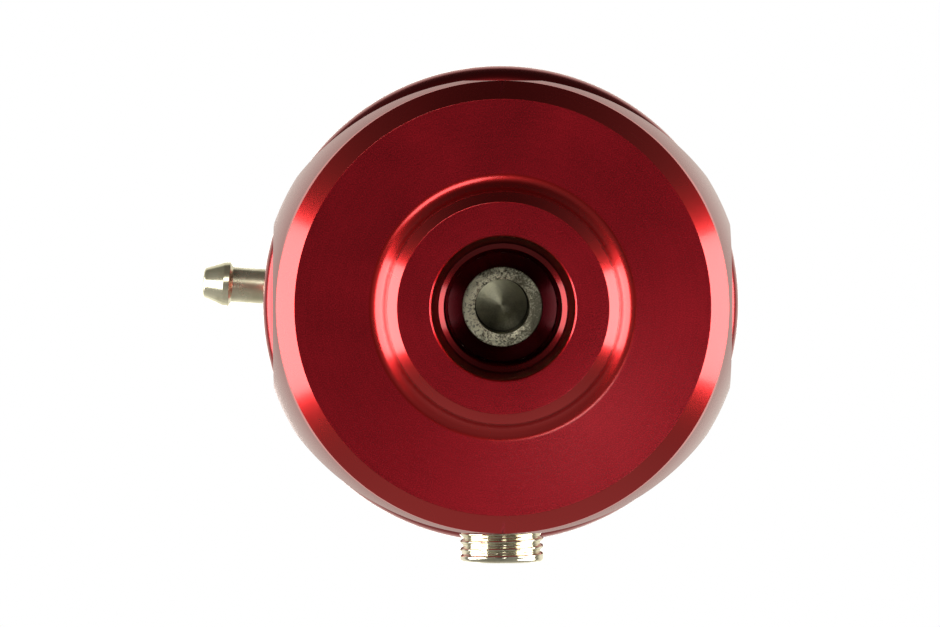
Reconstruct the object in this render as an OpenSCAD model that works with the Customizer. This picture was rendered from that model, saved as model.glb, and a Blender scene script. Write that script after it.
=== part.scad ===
// Fuel pressure regulator: return port below, adjusting screw above, one axis on Z.
// The boss face is z = 0, the inlet ports lie along X and the gauge port points to -Y.

/* [Lower body] */
// outer radius of the body and the cap
body_r = 29.2; // [28.8:0.1:31]
// height of the joint with the cap above the boss face
body_h = 30; // [29:0.5:34]
// radius of the return boss
boss_r = 13.8; // [13:0.1:15]
// edge chamfer on the return boss
boss_chamfer = 1.2; // [0.6:0.1:1.6]
// height of the return boss below the annular face
boss_h = 5; // [4:0.25:6]
// cove between the boss and the annular face
cove_r = 2.25; // [1:0.05:2.4]
// width of the flared wall in plan
flare_w = 2.15; // [1.9:0.05:2.3]
// chamfer around the annular face
rim_chamfer = 2.2; // [1.6:0.1:2.6]
// angle of the flared wall from the axis at its foot
flare_deg = 20; // [18:1:23]
// angle of the flared wall from the axis at its top
flare_end_deg = 9; // [7:1:11]
// depth of the inlet flats below the outer radius
flat_cut = 1.7; // [1:0.1:1.9]
// radius of the crowned front and rear faces
crown_r = 31.7; // [30.5:0.1:36]
// depth of the crowned faces below the outer radius
crown_cut = 1.8; // [1:0.1:2]
// depth of the front and rear spot flats below the crowned faces
pad_cut = 0.35; // [0.3:0.05:0.9]

/* [Fuel ports] */
// radius at the mouth of an O-ring port
port_mouth_r = 8.56; // [8:0.02:8.7]
// edge break around a port's mouth
port_break = 0.2; // [0.1:0.05:0.3]
// radius where the O-ring seat ends
port_seat_r = 7.68; // [7.3:0.02:7.8]
// depth of the O-ring seat
port_seat_h = 3; // [2.4:0.1:3.2]
// inner radius of the ledge below the O-ring seat
port_ledge_r = 7.06; // [6.9:0.02:7.2]
// fall of the ledge below the O-ring seat
port_ledge_h = 0.34; // [0.1:0.02:0.5]
// radius of the threaded wall of a port
port_thread_r = 6.5; // [6.3:0.05:6.8]
// angle of a port's drilled floor
port_floor_deg = 28; // [10:1:31]
// depth of the return port
return_depth = 11; // [10.75:0.25:11.5]
// height of the inlet ports
inlet_z = 19; // [18.8:0.1:20]
// depth of an inlet port
inlet_depth = 10; // [9:0.25:10.5]
// radius of the passage behind an inlet port
inlet_bore_r = 4.2; // [3:0.1:4.3]
// outer radius of the gauge port's tapered thread
gauge_r = 5.05; // [4.8:0.05:5.3]
// depth of the gauge port's tapered thread
gauge_depth = 7.6; // [6.5:0.1:8]
// radius of the passage behind the gauge port
gauge_bore_r = 2.5; // [1.5:0.1:3]
// radius of the rear bracket hole
bracket_r = 2.5; // [2:0.1:3]
// depth of the rear bracket hole
bracket_depth = 8; // [5:0.25:8.5]

/* [Fuel chamber] */
// step from the free space in to the fuel chamber
chamber_step = 2; // [1.5:0.1:3]
// thickness of the web that holds the seat
web_t = 3.5; // [3:0.1:3.6]
// wall between the free diaphragm and the foot of the spring tower
free_wall = 2.1; // [1.6:0.1:3.1]
// depth of the free space under the diaphragm
under_h = 2.5; // [2.2:0.1:3]
// height of the free space above the diaphragm's seat
over_h = 5; // [4.5:0.1:5.5]

/* [Valve] */
// outer radius of the seat sleeve
seat_r = 4.85; // [4.5:0.05:5.2]
// bore radius of the seat sleeve
seat_bore_r = 3.28; // [2.6:0.02:3.5]
// bevel inside the seat's lower rim
seat_bevel = 0.6; // [0.2:0.05:0.7]
// edge break outside the seat's lower rim
seat_edge = 0.15; // [0.05:0.05:0.3]
// height of the cone under the sealing rim
seat_cone_h = 1; // [0.6:0.1:1.4]
// radius of the seat's flange
seat_flange_r = 8; // [7.6:0.1:9]
// thickness of the seat's flange
seat_flange_t = 2.6; // [2.4:0.1:3.2]
// height of the sealing rim above the web
seat_h = 8.5; // [7:0.25:8.75]
// radius of the sealing rim
seat_rim_r = 4.1; // [3.9:0.05:4.3]
// section radius of the seat's O-ring
seat_ring_r = 0.8; // [0.6:0.05:0.9]
// radius of the valve disc
disc_r = 4.9; // [4.6:0.1:6]
// thickness of the valve disc
disc_t = 2; // [1.5:0.1:2.4]
// edge break of the valve disc
disc_edge = 0.3; // [0.1:0.05:0.5]
// radius of the valve's collar
collar_r = 3.9; // [3.4:0.1:4.4]
// radius of the valve's threaded stem
stem_r = 2.5; // [2:0.1:2.8]
// edge break of the valve's stem
stem_edge = 0.4; // [0.2:0.05:0.6]
// length of the stem above its nut
stem_over = 0.6; // [0.4:0.1:1.2]

/* [Diaphragm] */
// thickness of the diaphragm
skin_t = 1; // [0.7:0.1:1.4]
// distance of the diaphragm's edge from the circle of cap screws
skin_gap = 2.6; // [2.5:0.1:3.4]
// step from the spring cup's edge in to the lower plate's
plate_step = 1; // [0.5:0.1:3]
// thickness of the lower plate
plate_t = 1.8; // [1.2:0.1:2]
// edge break of both plates
plate_edge = 0.5; // [0.2:0.05:0.6]
// clearance of the spring cup in the spring space
cup_clear = 0.6; // [0.4:0.1:1]
// width of the spring cup's rims
cup_rim_w = 1.2; // [1.1:0.05:1.3]
// clearance of the spring beside the rims
spring_fit = 0.3; // [0.2:0.05:0.4]
// thickness of the spring cup's base
cup_t = 2; // [1.5:0.1:2.5]
// height of the spring cup's rims
cup_rim_h = 1.8; // [1:0.1:2.5]
// thickness of the stem's spring washer
lock_washer_t = 1; // [0.8:0.1:1.3]
// width across flats of the stem's nut
stem_nut_af = 8; // [8:0.5:9]
// thickness of the stem's nut
stem_nut_t = 3.6; // [3:0.1:4]

/* [Spring] */
// radius of the spring wire
wire_r = 1.5; // [1.2:0.05:1.6]
// height of the fitted spring
spring_h = 22; // [21:0.5:24]
// turns in the spring, with its closed ends
turns = 5.5; // [5:0.5:6]

/* [Cap] */
// thickness of the cap's flange
flange_t = 7.5; // [7.2:0.1:9]
// rounding of the flange's lower edge
flange_round = 2.6; // [1.5:0.1:2.6]
// chamfer of the flange's upper edge
flange_chamfer = 0.7; // [0.3:0.1:0.8]
// width of the flange around the foot of the spring tower
flange_w = 9.6; // [9.4:0.1:10]
// narrowing of the spring tower from its foot to its shoulder
tower_draft = 1.2; // [0.6:0.1:1.6]
// rounding of the tower's shoulder
shoulder_r = 5; // [3:0.25:5.5]
// wall of the spring tower at its shoulder
tower_wall = 3.8; // [3.6:0.1:4]
// free space above the top spring seat at the end of its travel
roof_gap = 0.8; // [0.6:0.1:1.2]
// thickness of the tower's roof
roof_t = 3.6; // [3:0.1:5]
// radius of the neck around the adjusting screw
neck_r = 10; // [9.6:0.1:11]
// height of the neck above the roof
neck_h = 4; // [3:0.25:5]

/* [Cap screws] */
// number of cap screws
screw_count = 8; // [4:4:8]
// distance of the circle of cap screws from the outer radius
screw_inset = 5.2; // [5.1:0.05:5.3]
// radius of a cap screw's thread
screw_r = 2; // [1.8:0.05:2]
// clearance of a cap screw in the cap
screw_clear = 0.15; // [0.1:0.05:0.2]
// radius of a cap screw's head
screw_head_r = 3.5; // [3.2:0.05:3.6]
// height of a cap screw's head
screw_head_h = 4; // [3.6:0.1:4.2]
// width across flats of a cap screw's socket
screw_socket_af = 3; // [2.5:0.5:3]
// depth of a cap screw's socket
screw_socket_h = 2; // [1.5:0.1:2.4]
// edge break of a cap screw
screw_edge = 0.3; // [0.1:0.05:0.5]
// length of a cap screw's shank
screw_len = 10; // [9:0.25:10]
// free space below a cap screw
screw_relief = 0.5; // [0.2:0.1:0.6]
// thickness of a cap screw's spring washer
screw_washer_t = 0.9; // [0.7:0.1:1]
// radius of the recess around a cap screw
recess_r = 4; // [3.9:0.05:4.1]
// depth of the recess around a cap screw
recess_h = 5; // [4.9:0.1:5.2]

/* [Adjuster] */
// radius of the adjusting screw
adjuster_r = 5; // [4.6:0.1:5.2]
// running clearance around the adjusting screw
adjuster_clear = 0.05; // [0.03:0.01:0.08]
// length of the adjusting screw
adjuster_len = 23; // [21:0.5:26]
// chamfer at both ends of the adjusting screw
adjuster_edge = 0.7; // [0.4:0.1:1]
// width across flats of the adjusting screw's socket
adjuster_socket_af = 5; // [4:0.5:5]
// depth of the adjusting screw's socket
adjuster_socket_h = 6; // [4:0.5:7]
// travel of the adjusting screw each way
adjuster_travel = 3; // [1:0.25:3]
// thickness of the top spring seat
top_seat_t = 2.5; // [2:0.1:3]
// clearance of the top spring seat in the spring space
top_seat_clear = 1.6; // [1.4:0.1:1.9]
// radius of the top spring seat's boss
top_boss_r = 4.4; // [4:0.1:4.5]
// height of the top spring seat's boss
top_boss_h = 1.2; // [0.8:0.1:1.4]
// radius of the thrust ball
ball_r = 2.5; // [2.4:0.05:2.7]
// half angle of the two centre drillings that hold the ball
drill_deg = 59; // [55:1:62]
// section radius of the adjuster's O-ring
adjuster_ring_r = 0.6; // [0.5:0.05:0.8]
// radius of the seal washer
seal_r = 8.4; // [7.5:0.1:9]
// thickness of the seal washer
seal_t = 1.5; // [1:0.1:2]
// width across flats of the lock nut
nut_af = 17; // [16:0.5:18]
// height of the lock nut
nut_h = 5; // [4:0.25:6]
// height of the chamfer at the lock nut's corners
nut_edge = 0.7; // [0.4:0.1:1]

/* [Reference nipple] */
// turn of the nipple from the X axis
barb_deg = 3.8; // [0:0.2:8]
// height of the nipple above the flange
barb_rise = 7; // [6.6:0.1:9]
// depth of the nipple's spot face below the foot of the spring tower
barb_sink = 1.4; // [1.3:0.1:1.8]
// radius of the nipple's spot face
barb_spot_r = 5.2; // [5:0.1:5.6]
// radius of the nipple's thread
barb_thread_r = 3; // [2.5:0.1:3.2]
// width across flats of the nipple's hexagon
barb_af = 8; // [7:0.5:8.5]
// length of the nipple's hexagon
barb_hex_h = 4.5; // [3:0.25:5]
// radius of the nipple's tube
barb_tube_r = 2.17; // [1.9:0.01:2.3]
// radius of the nipple's barb
barb_r = 2.77; // [2.5:0.01:3]
// radius of the nipple's tip
barb_tip_r = 1.75; // [1.6:0.01:1.85]
// length of the nipple's barb
barb_len = 3.25; // [2.5:0.05:3.6]
// length of the back of the nipple's barb
barb_back = 0.5; // [0.2:0.05:0.8]
// reach of the nipple's tip beyond the outer radius
barb_reach = 7.7; // [5:0.1:11]
// distance of the nipple's inner end from the spring space
barb_gap = 0.3; // [0.1:0.05:0.6]
// bore radius of the nipple
barb_bore_r = 1.2; // [0.8:0.05:1.3]

/* [Gauge plug] */
// height of the plug's end above its spot flat
plug_stand = 3.95; // [2.5:0.05:5]
// rounding of the plug's end
plug_round = 0.9; // [0.4:0.1:1.1]
// width across flats of the plug's socket
plug_socket_af = 4.76; // [4:0.02:5]
// depth of the plug's socket
plug_socket_h = 4.5; // [3:0.1:5]
// widening of the tapered thread per millimetre of length
plug_taper = 0.03125; // [0.03:0.00025:0.0325]

/* [Hidden] */
$fn = 96;
red = [0.5, 0.05, 0.07];
steel = [0.62, 0.62, 0.6];
nickel = [0.75, 0.73, 0.68];
rubber = [0.08, 0.08, 0.08];
over = 1;
rim_r = body_r - flare_w;
face_r = rim_r - rim_chamfer;
flat_x = body_r - flat_cut;
crown_y = body_r - crown_cut;
pad_y = crown_y - pad_cut;
screw_circle_r = body_r - screw_inset;
tower_foot_r = body_r - flange_w;
tower_top_r = tower_foot_r - tower_draft;
spring_space_r = tower_top_r - tower_wall;
free_r = tower_foot_r - free_wall;
chamber_r = free_r - chamber_step;
skin_r = screw_circle_r - skin_gap;
cup_r = spring_space_r - cup_clear;
plate_r = cup_r - plate_step;
top_seat_r = spring_space_r - top_seat_clear;
coil_r = cup_r - cup_rim_w - spring_fit - wire_r;
rim_z = boss_h + rim_chamfer;
flare_r = flare_w / (cos(flare_end_deg) - cos(flare_deg));
web_z = return_depth + web_t;
seat_z = web_z + seat_h;
ring_mid_r = (seat_r + seat_flange_r) / 2;
plate_z = body_h - plate_t;
skin_z = body_h + skin_t;
cup_z = skin_z + cup_t;
collar_z = seat_z + disc_t;
hub_r = coil_r - wire_r - spring_fit;
rim_in_r = cup_r - cup_rim_w;
top_z = cup_z + spring_h;
boss_top_z = top_z + top_seat_t + top_boss_h;
ball_drop = ball_r / sin(drill_deg);
drill_r = ball_r * 1.06;
drill_h = drill_r / tan(drill_deg);
ball_z = boss_top_z - drill_h + ball_drop;
tip_z = ball_z + ball_drop - drill_h;
roof_z = top_z + top_seat_t + adjuster_travel + roof_gap;
roof_top_z = roof_z + roof_t;
neck_z = roof_top_z + neck_h;
flange_z = body_h + flange_t;
recess_z = flange_z - recess_h;
head_z = recess_z + screw_washer_t;
screw_hole_z = head_z - screw_len - screw_relief;
bore_r = adjuster_r + adjuster_clear;
adjuster_ring_z = roof_z + roof_t / 2;
barb_z = flange_z + barb_rise;
stem_nut_z = cup_z + lock_washer_t;
stem_top_z = stem_nut_z + stem_nut_t + stem_over;
barb_seat_x = tower_foot_r - barb_sink;
barb_tip_x = body_r + barb_reach;
plug_end_y = pad_y + plug_stand;

// Points of an arc about a centre, from one angle to another.
function arc(cx, cy, r, a0, a1, n = 10) =
    [for (i = [0 : n]) [cx + r * cos(a0 + (a1 - a0) * i / n), cy + r * sin(a0 + (a1 - a0) * i / n)]];

// A hexagonal prism, sized across its flats.
module hexagon(af, h) {
    cylinder(h = h, r = af / sqrt(3), $fn = 6);
}

// The space of an O-ring port, with its mouth at z = 0 and its drilled floor ending at z = depth.
module port_space(depth, floor_r) {
    ledge_z = port_seat_h + port_ledge_h;
    entry_z = ledge_z + port_ledge_r - port_thread_r;
    floor_z = depth - (port_thread_r - floor_r) * tan(port_floor_deg);
    rotate_extrude()
        polygon([[0, -over], [port_mouth_r + port_break, -over], [port_mouth_r + port_break, 0],
            [port_mouth_r, port_break], [port_seat_r, port_seat_h], [port_ledge_r, ledge_z],
            [port_thread_r, entry_z], [port_thread_r, floor_z], [floor_r, depth], [0, depth]]);
}

// One copy of the children for each cap screw.
module at_cap_screws() {
    for (i = [0 : screw_count - 1])
        rotate(360 / screw_count * (i + 0.5))
            translate([screw_circle_r, 0, 0])
                children();
}

// The turned blank of the lower body.
module body_blank() {
    rotate_extrude()
        polygon(concat(
            [[0, 0], [boss_r - boss_chamfer, 0], [boss_r, boss_chamfer], [boss_r, boss_h - cove_r]],
            arc(boss_r + cove_r, boss_h - cove_r, cove_r, 180, 90),
            [[face_r, boss_h]],
            arc(rim_r - flare_r * cos(flare_deg), rim_z + flare_r * sin(flare_deg), flare_r,
                -flare_deg, -flare_end_deg, 6),
            [[body_r, body_h], [0, body_h]]));
}

module lower_body() {
    color(red)
    difference() {
        intersection() {
            body_blank();
            translate([-flat_x, -pad_y, -over])
                cube([2 * flat_x, 2 * pad_y, body_h + 2 * over]);
            translate([0, crown_y - crown_r, -over])
                cylinder(h = body_h + 2 * over, r = crown_r);
            translate([0, crown_r - crown_y, -over])
                cylinder(h = body_h + 2 * over, r = crown_r);
        }
        port_space(return_depth, seat_r);
        translate([0, 0, return_depth - over])
            cylinder(h = web_t + 2 * over, r = seat_r);
        translate([0, 0, web_z])
            cylinder(h = body_h - web_z + over, r = chamber_r);
        translate([0, 0, body_h - under_h])
            cylinder(h = under_h + over, r = free_r);
        for (side = [-90, 90])
            rotate([0, side, 0])
                translate([-sign(side) * inlet_z, 0, -flat_x])
                    port_space(inlet_depth, inlet_bore_r);
        translate([-flat_x + inlet_depth - over, 0, inlet_z])
            rotate([0, 90, 0])
                cylinder(h = 2 * (flat_x - inlet_depth + over), r = inlet_bore_r);
        gauge_space();
        translate([0, pad_y - bracket_depth, inlet_z])
            rotate([-90, 0, 0])
                cylinder(h = bracket_depth + over, r = bracket_r);
        at_cap_screws()
            translate([0, 0, screw_hole_z])
                cylinder(h = body_h - screw_hole_z + over, r = screw_r);
    }
}

// The tapered gauge port and the passage behind it.
module gauge_space() {
    translate([0, -pad_y, inlet_z])
        rotate([-90, 0, 0]) {
            cylinder(h = gauge_depth, r1 = gauge_r, r2 = gauge_r - plug_taper * gauge_depth);
            cylinder(h = pad_y - chamber_r + over, r = gauge_bore_r);
        }
}

module upper_cap() {
    color(red)
    difference() {
        rotate_extrude()
            polygon(concat(
                [[0, body_h], [body_r - flange_round, body_h]],
                arc(body_r - flange_round, body_h + flange_round, flange_round, -90, 0),
                [[body_r, flange_z - flange_chamfer], [body_r - flange_chamfer, flange_z],
                    [tower_foot_r, flange_z], [tower_top_r, roof_top_z - shoulder_r]],
                arc(tower_top_r - shoulder_r, roof_top_z - shoulder_r, shoulder_r, 0, 90),
                [[neck_r, roof_top_z], [neck_r, neck_z - flange_chamfer],
                    [neck_r - flange_chamfer, neck_z], [0, neck_z]]));
        translate([0, 0, body_h - over])
            cylinder(h = skin_t + over, r = skin_r);
        translate([0, 0, body_h])
            cylinder(h = over_h, r = free_r);
        translate([0, 0, body_h])
            cylinder(h = roof_z - body_h, r = spring_space_r);
        translate([0, 0, roof_z - over])
            cylinder(h = neck_z - roof_z + 2 * over, r = bore_r);
        translate([0, 0, adjuster_ring_z])
            cylinder(h = 2.4 * adjuster_ring_r, r = bore_r + 2 * adjuster_ring_r, center = true);
        at_cap_screws() {
            translate([0, 0, body_h - over])
                cylinder(h = flange_t + over, r = screw_r + screw_clear);
            translate([0, 0, recess_z])
                cylinder(h = recess_h + over, r = recess_r);
        }
        rotate(barb_deg)
            translate([0, 0, barb_z])
                rotate([0, 90, 0]) {
                    cylinder(h = barb_seat_x + over, r = barb_thread_r);
                    translate([0, 0, barb_seat_x])
                        cylinder(h = tower_foot_r, r = barb_spot_r);
                }
    }
}

module return_seat() {
    groove = seat_ring_r * 1.1;
    color(steel)
    difference() {
        rotate_extrude()
            polygon([[seat_bore_r + seat_bevel, return_depth],
                [seat_r - seat_edge, return_depth], [seat_r, return_depth + seat_edge],
                [seat_r, web_z], [seat_flange_r, web_z], [seat_flange_r, web_z + seat_flange_t],
                [seat_r, web_z + seat_flange_t], [seat_r, seat_z - seat_cone_h], [seat_rim_r, seat_z],
                [seat_bore_r, seat_z], [seat_bore_r, return_depth + seat_bevel]]);
        rotate_extrude()
            translate([ring_mid_r - groove, web_z - over])
                square([2 * groove, over + 2 * seat_ring_r]);
    }
}

module seat_o_ring() {
    color(rubber)
    rotate_extrude()
        translate([ring_mid_r, web_z + seat_ring_r])
            circle(r = seat_ring_r);
}

module valve_poppet() {
    color(steel)
    rotate_extrude()
        polygon([[0, seat_z], [disc_r - disc_edge, seat_z], [disc_r, seat_z + disc_edge],
            [disc_r, collar_z], [collar_r, collar_z], [collar_r, plate_z], [stem_r, plate_z],
            [stem_r, stem_top_z - stem_edge], [stem_r - stem_edge, stem_top_z], [0, stem_top_z]]);
}

module lower_plate() {
    color(nickel)
    rotate_extrude()
        polygon([[stem_r, plate_z], [plate_r - plate_edge, plate_z], [plate_r, plate_z + plate_edge],
            [plate_r, body_h], [stem_r, body_h]]);
}

module diaphragm() {
    color(rubber)
    rotate_extrude()
        translate([stem_r, body_h])
            square([skin_r - stem_r, skin_t]);
}

module spring_cup() {
    color(nickel)
    rotate_extrude()
        polygon([[stem_r, skin_z], [cup_r - plate_edge, skin_z], [cup_r, skin_z + plate_edge],
            [cup_r, cup_z + cup_rim_h], [rim_in_r, cup_z + cup_rim_h], [rim_in_r, cup_z],
            [hub_r, cup_z], [hub_r, cup_z + cup_rim_h], [hub_r - cup_rim_w, cup_z + cup_rim_h],
            [hub_r - cup_rim_w, cup_z], [stem_r, cup_z]]);
}

module poppet_lock_washer() {
    color(steel)
    rotate_extrude()
        translate([stem_r, cup_z])
            square([stem_nut_af / 2 - stem_r, lock_washer_t]);
}

module poppet_nut() {
    color(steel)
    translate([0, 0, stem_nut_z])
        difference() {
            hexagon(stem_nut_af, stem_nut_t);
            translate([0, 0, -over])
                cylinder(h = stem_nut_t + 2 * over, r = stem_r);
        }
}

// Closed end coils rise slowly, and the coils between them share the rest of the height.
function rise(t) =
    let (p = 2 * wire_r + 0.04, body = spring_h - 2 * wire_r - 2 * p * 0.9)
    t < 0.9 ? p * t
    : t > turns - 0.9 ? spring_h - 2 * wire_r - p * (turns - t)
    : 0.9 * p + body * (t - 0.9) / (turns - 1.8);

module main_spring() {
    per_turn = 28;
    sides = 12;
    rings = turns * per_turn;
    points = [for (i = [0 : rings], k = [0 : sides - 1])
        let (a = 360 * i / per_turn, b = 360 * k / sides, r = coil_r + wire_r * cos(b))
        [r * cos(a), r * sin(a), cup_z + wire_r + rise(i / per_turn) + wire_r * sin(b)]];
    wall = [for (i = [0 : rings - 1], k = [0 : sides - 1])
        let (m = (k + 1) % sides)
        [i * sides + k, (i + 1) * sides + k, (i + 1) * sides + m, i * sides + m]];
    first = [for (k = [0 : sides - 1]) k];
    last = [for (k = [sides - 1 : -1 : 0]) rings * sides + k];
    color(steel)
    polyhedron(points, concat([first], wall, [last]), convexity = 10);
}

module top_spring_seat() {
    color(nickel)
    rotate_extrude()
        polygon([[0, top_z - cup_rim_h], [hub_r, top_z - cup_rim_h], [hub_r, top_z],
            [top_seat_r, top_z], [top_seat_r, top_z + top_seat_t], [top_boss_r, top_z + top_seat_t],
            [top_boss_r, boss_top_z], [drill_r, boss_top_z], [0, boss_top_z - drill_h]]);
}

module thrust_ball() {
    color(steel)
    translate([0, 0, ball_z])
        sphere(r = ball_r);
}

module adjusting_screw() {
    color(steel)
    translate([0, 0, tip_z])
        difference() {
            rotate_extrude()
                polygon([[0, drill_h], [drill_r, 0], [adjuster_r - adjuster_edge, 0],
                    [adjuster_r, adjuster_edge], [adjuster_r, adjuster_len - adjuster_edge],
                    [adjuster_r - adjuster_edge, adjuster_len], [0, adjuster_len]]);
            translate([0, 0, adjuster_len - adjuster_socket_h])
                hexagon(adjuster_socket_af, adjuster_socket_h + over);
        }
}

module adjuster_o_ring() {
    color(rubber)
    rotate_extrude()
        translate([bore_r + adjuster_ring_r, adjuster_ring_z])
            circle(r = adjuster_ring_r);
}

module seal_washer() {
    color(rubber)
    rotate_extrude()
        translate([bore_r, neck_z])
            square([seal_r - bore_r, seal_t]);
}

module lock_nut() {
    corner = nut_af / sqrt(3);
    color(steel)
    translate([0, 0, neck_z + seal_t])
        difference() {
            intersection() {
                hexagon(nut_af, nut_h);
                rotate_extrude()
                    polygon([[0, 0], [nut_af / 2, 0], [corner, nut_edge], [corner, nut_h - nut_edge],
                        [nut_af / 2, nut_h], [0, nut_h]]);
            }
            translate([0, 0, -over])
                cylinder(h = nut_h + 2 * over, r = bore_r);
        }
}

module cap_screws() {
    color(steel)
    at_cap_screws()
        difference() {
            translate([0, 0, head_z])
                rotate_extrude()
                    polygon([[0, -screw_len], [screw_r - screw_edge, -screw_len],
                        [screw_r, screw_edge - screw_len], [screw_r, 0], [screw_head_r, 0],
                        [screw_head_r, screw_head_h - screw_edge],
                        [screw_head_r - screw_edge, screw_head_h], [0, screw_head_h]]);
            translate([0, 0, head_z + screw_head_h - screw_socket_h])
                hexagon(screw_socket_af, screw_socket_h + over);
        }
}

module cap_screw_washers() {
    color(steel)
    at_cap_screws()
        rotate_extrude()
            translate([screw_r, recess_z])
                square([screw_head_r - screw_r, screw_washer_t]);
}

module vacuum_barb() {
    foot_x = spring_space_r + barb_gap;
    hex_x = barb_seat_x + barb_hex_h;
    back_x = barb_tip_x - barb_len;
    color(nickel)
    rotate(barb_deg)
        translate([0, 0, barb_z])
            rotate([0, 90, 0])
                difference() {
                    union() {
                        translate([0, 0, barb_seat_x])
                            hexagon(barb_af, barb_hex_h);
                        rotate_extrude()
                            polygon([[0, foot_x], [barb_thread_r, foot_x],
                                [barb_thread_r, barb_seat_x + over], [barb_tube_r, hex_x - over],
                                [barb_tube_r, back_x - barb_back], [barb_r, back_x],
                                [barb_tip_r, barb_tip_x], [0, barb_tip_x]]);
                    }
                    cylinder(h = barb_tip_x + over, r = barb_bore_r);
                }
}

module gauge_plug() {
    end_r = gauge_r + plug_taper * (plug_stand - plug_round);
    color(nickel)
    translate([0, -plug_end_y, inlet_z])
        rotate([-90, 0, 0])
            difference() {
                rotate_extrude()
                    polygon(concat(
                        arc(end_r - plug_round, plug_round, plug_round, -90, 0),
                        [[gauge_r, plug_stand],
                            [gauge_r - plug_taper * gauge_depth, plug_stand + gauge_depth],
                            [0, plug_stand + gauge_depth], [0, 0]]));
                translate([0, 0, -over])
                    hexagon(plug_socket_af, plug_socket_h + over);
            }
}

lower_body();
upper_cap();
return_seat();
seat_o_ring();
valve_poppet();
lower_plate();
diaphragm();
spring_cup();
poppet_lock_washer();
poppet_nut();
main_spring();
top_spring_seat();
thrust_ball();
adjusting_screw();
adjuster_o_ring();
seal_washer();
lock_nut();
cap_screws();
cap_screw_washers();
vacuum_barb();
gauge_plug();
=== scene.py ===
"""Looks of a red anodised fuel pressure regulator, on the frame packed from its CAD model.

Every size is in millimetres until a mesh is made, and every mesh lies in the CAD frame: +Z up along the
regulator's axis, the return boss's face at z = 0, the inlets along X and the gauge plug at -Y.
"""

import logging
from dataclasses import dataclass, field
from enum import Enum
from math import atan2, cos, pi, radians, sin, sqrt, tan
from typing import Any, Sequence

import bmesh
import bpy
import numpy as np
from mathutils import Matrix, Vector


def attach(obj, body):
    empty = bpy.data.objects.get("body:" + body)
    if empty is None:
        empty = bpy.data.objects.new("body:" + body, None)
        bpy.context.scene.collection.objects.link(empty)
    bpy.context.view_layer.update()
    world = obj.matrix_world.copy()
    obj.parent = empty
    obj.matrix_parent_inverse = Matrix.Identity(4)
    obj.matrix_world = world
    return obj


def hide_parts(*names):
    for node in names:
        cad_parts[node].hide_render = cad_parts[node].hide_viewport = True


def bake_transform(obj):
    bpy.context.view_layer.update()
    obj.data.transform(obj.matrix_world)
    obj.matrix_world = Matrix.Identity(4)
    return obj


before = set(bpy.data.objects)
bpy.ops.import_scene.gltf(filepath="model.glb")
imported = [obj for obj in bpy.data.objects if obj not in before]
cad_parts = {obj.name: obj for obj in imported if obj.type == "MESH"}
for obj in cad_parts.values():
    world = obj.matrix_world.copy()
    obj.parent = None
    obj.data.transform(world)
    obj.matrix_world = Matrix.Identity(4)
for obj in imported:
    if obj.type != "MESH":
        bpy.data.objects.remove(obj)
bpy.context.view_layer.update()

log = logging.getLogger("regulator")
MM = 0.001
TURN = 2.0 * pi
SHARP_DEG = 9.0
TINY = 1e-6
MERGE_M = 1e-7
FLAT_M = 1e-8
SAME_RAD = 0.004
SPARE = 1.0
SENSOR_MM = 36.0

Array = np.ndarray
Colour = tuple[float, float, float]
Place = tuple[float, float, float]
Profile = Sequence[tuple[float, float, float]]


class Body(Enum):
    """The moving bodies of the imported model."""

    HOUSING = "housing"
    VALVE = "valve"
    SPRING_SEAT = "spring_seat"
    ADJUSTER = "adjuster"
    NUT_SEAL = "nut_seal"
    NUT = "nut"


class Polish(Enum):
    """Values of the polish attribute on anodised pieces; those below 0 paint shade, fully at -1."""

    TOOLED = 1.0
    CAP = 0.8
    TOWER = 0.35
    FLANGE = 0.1
    SATIN = 0.0
    WALL = -0.4
    CAP_FOOT = -0.5
    FLARE = -0.60
    LEDGE = -0.68
    DEEP_SHADE = -1.0

    def rows(self, count: int) -> Array:
        """The value for a number of rows."""
        return np.full(count, self.value)


class Edge:
    """Radii of rounded edges, in millimetres, from the crispest to the boldest."""

    CRISP = 0.05
    FACE = 0.06
    HAIR = 0.1
    BROKEN = 0.12
    SOFT = 0.15
    EASED = 0.2
    LIP = 0.25
    ROUND = 0.3
    BOLD = 0.4


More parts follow.
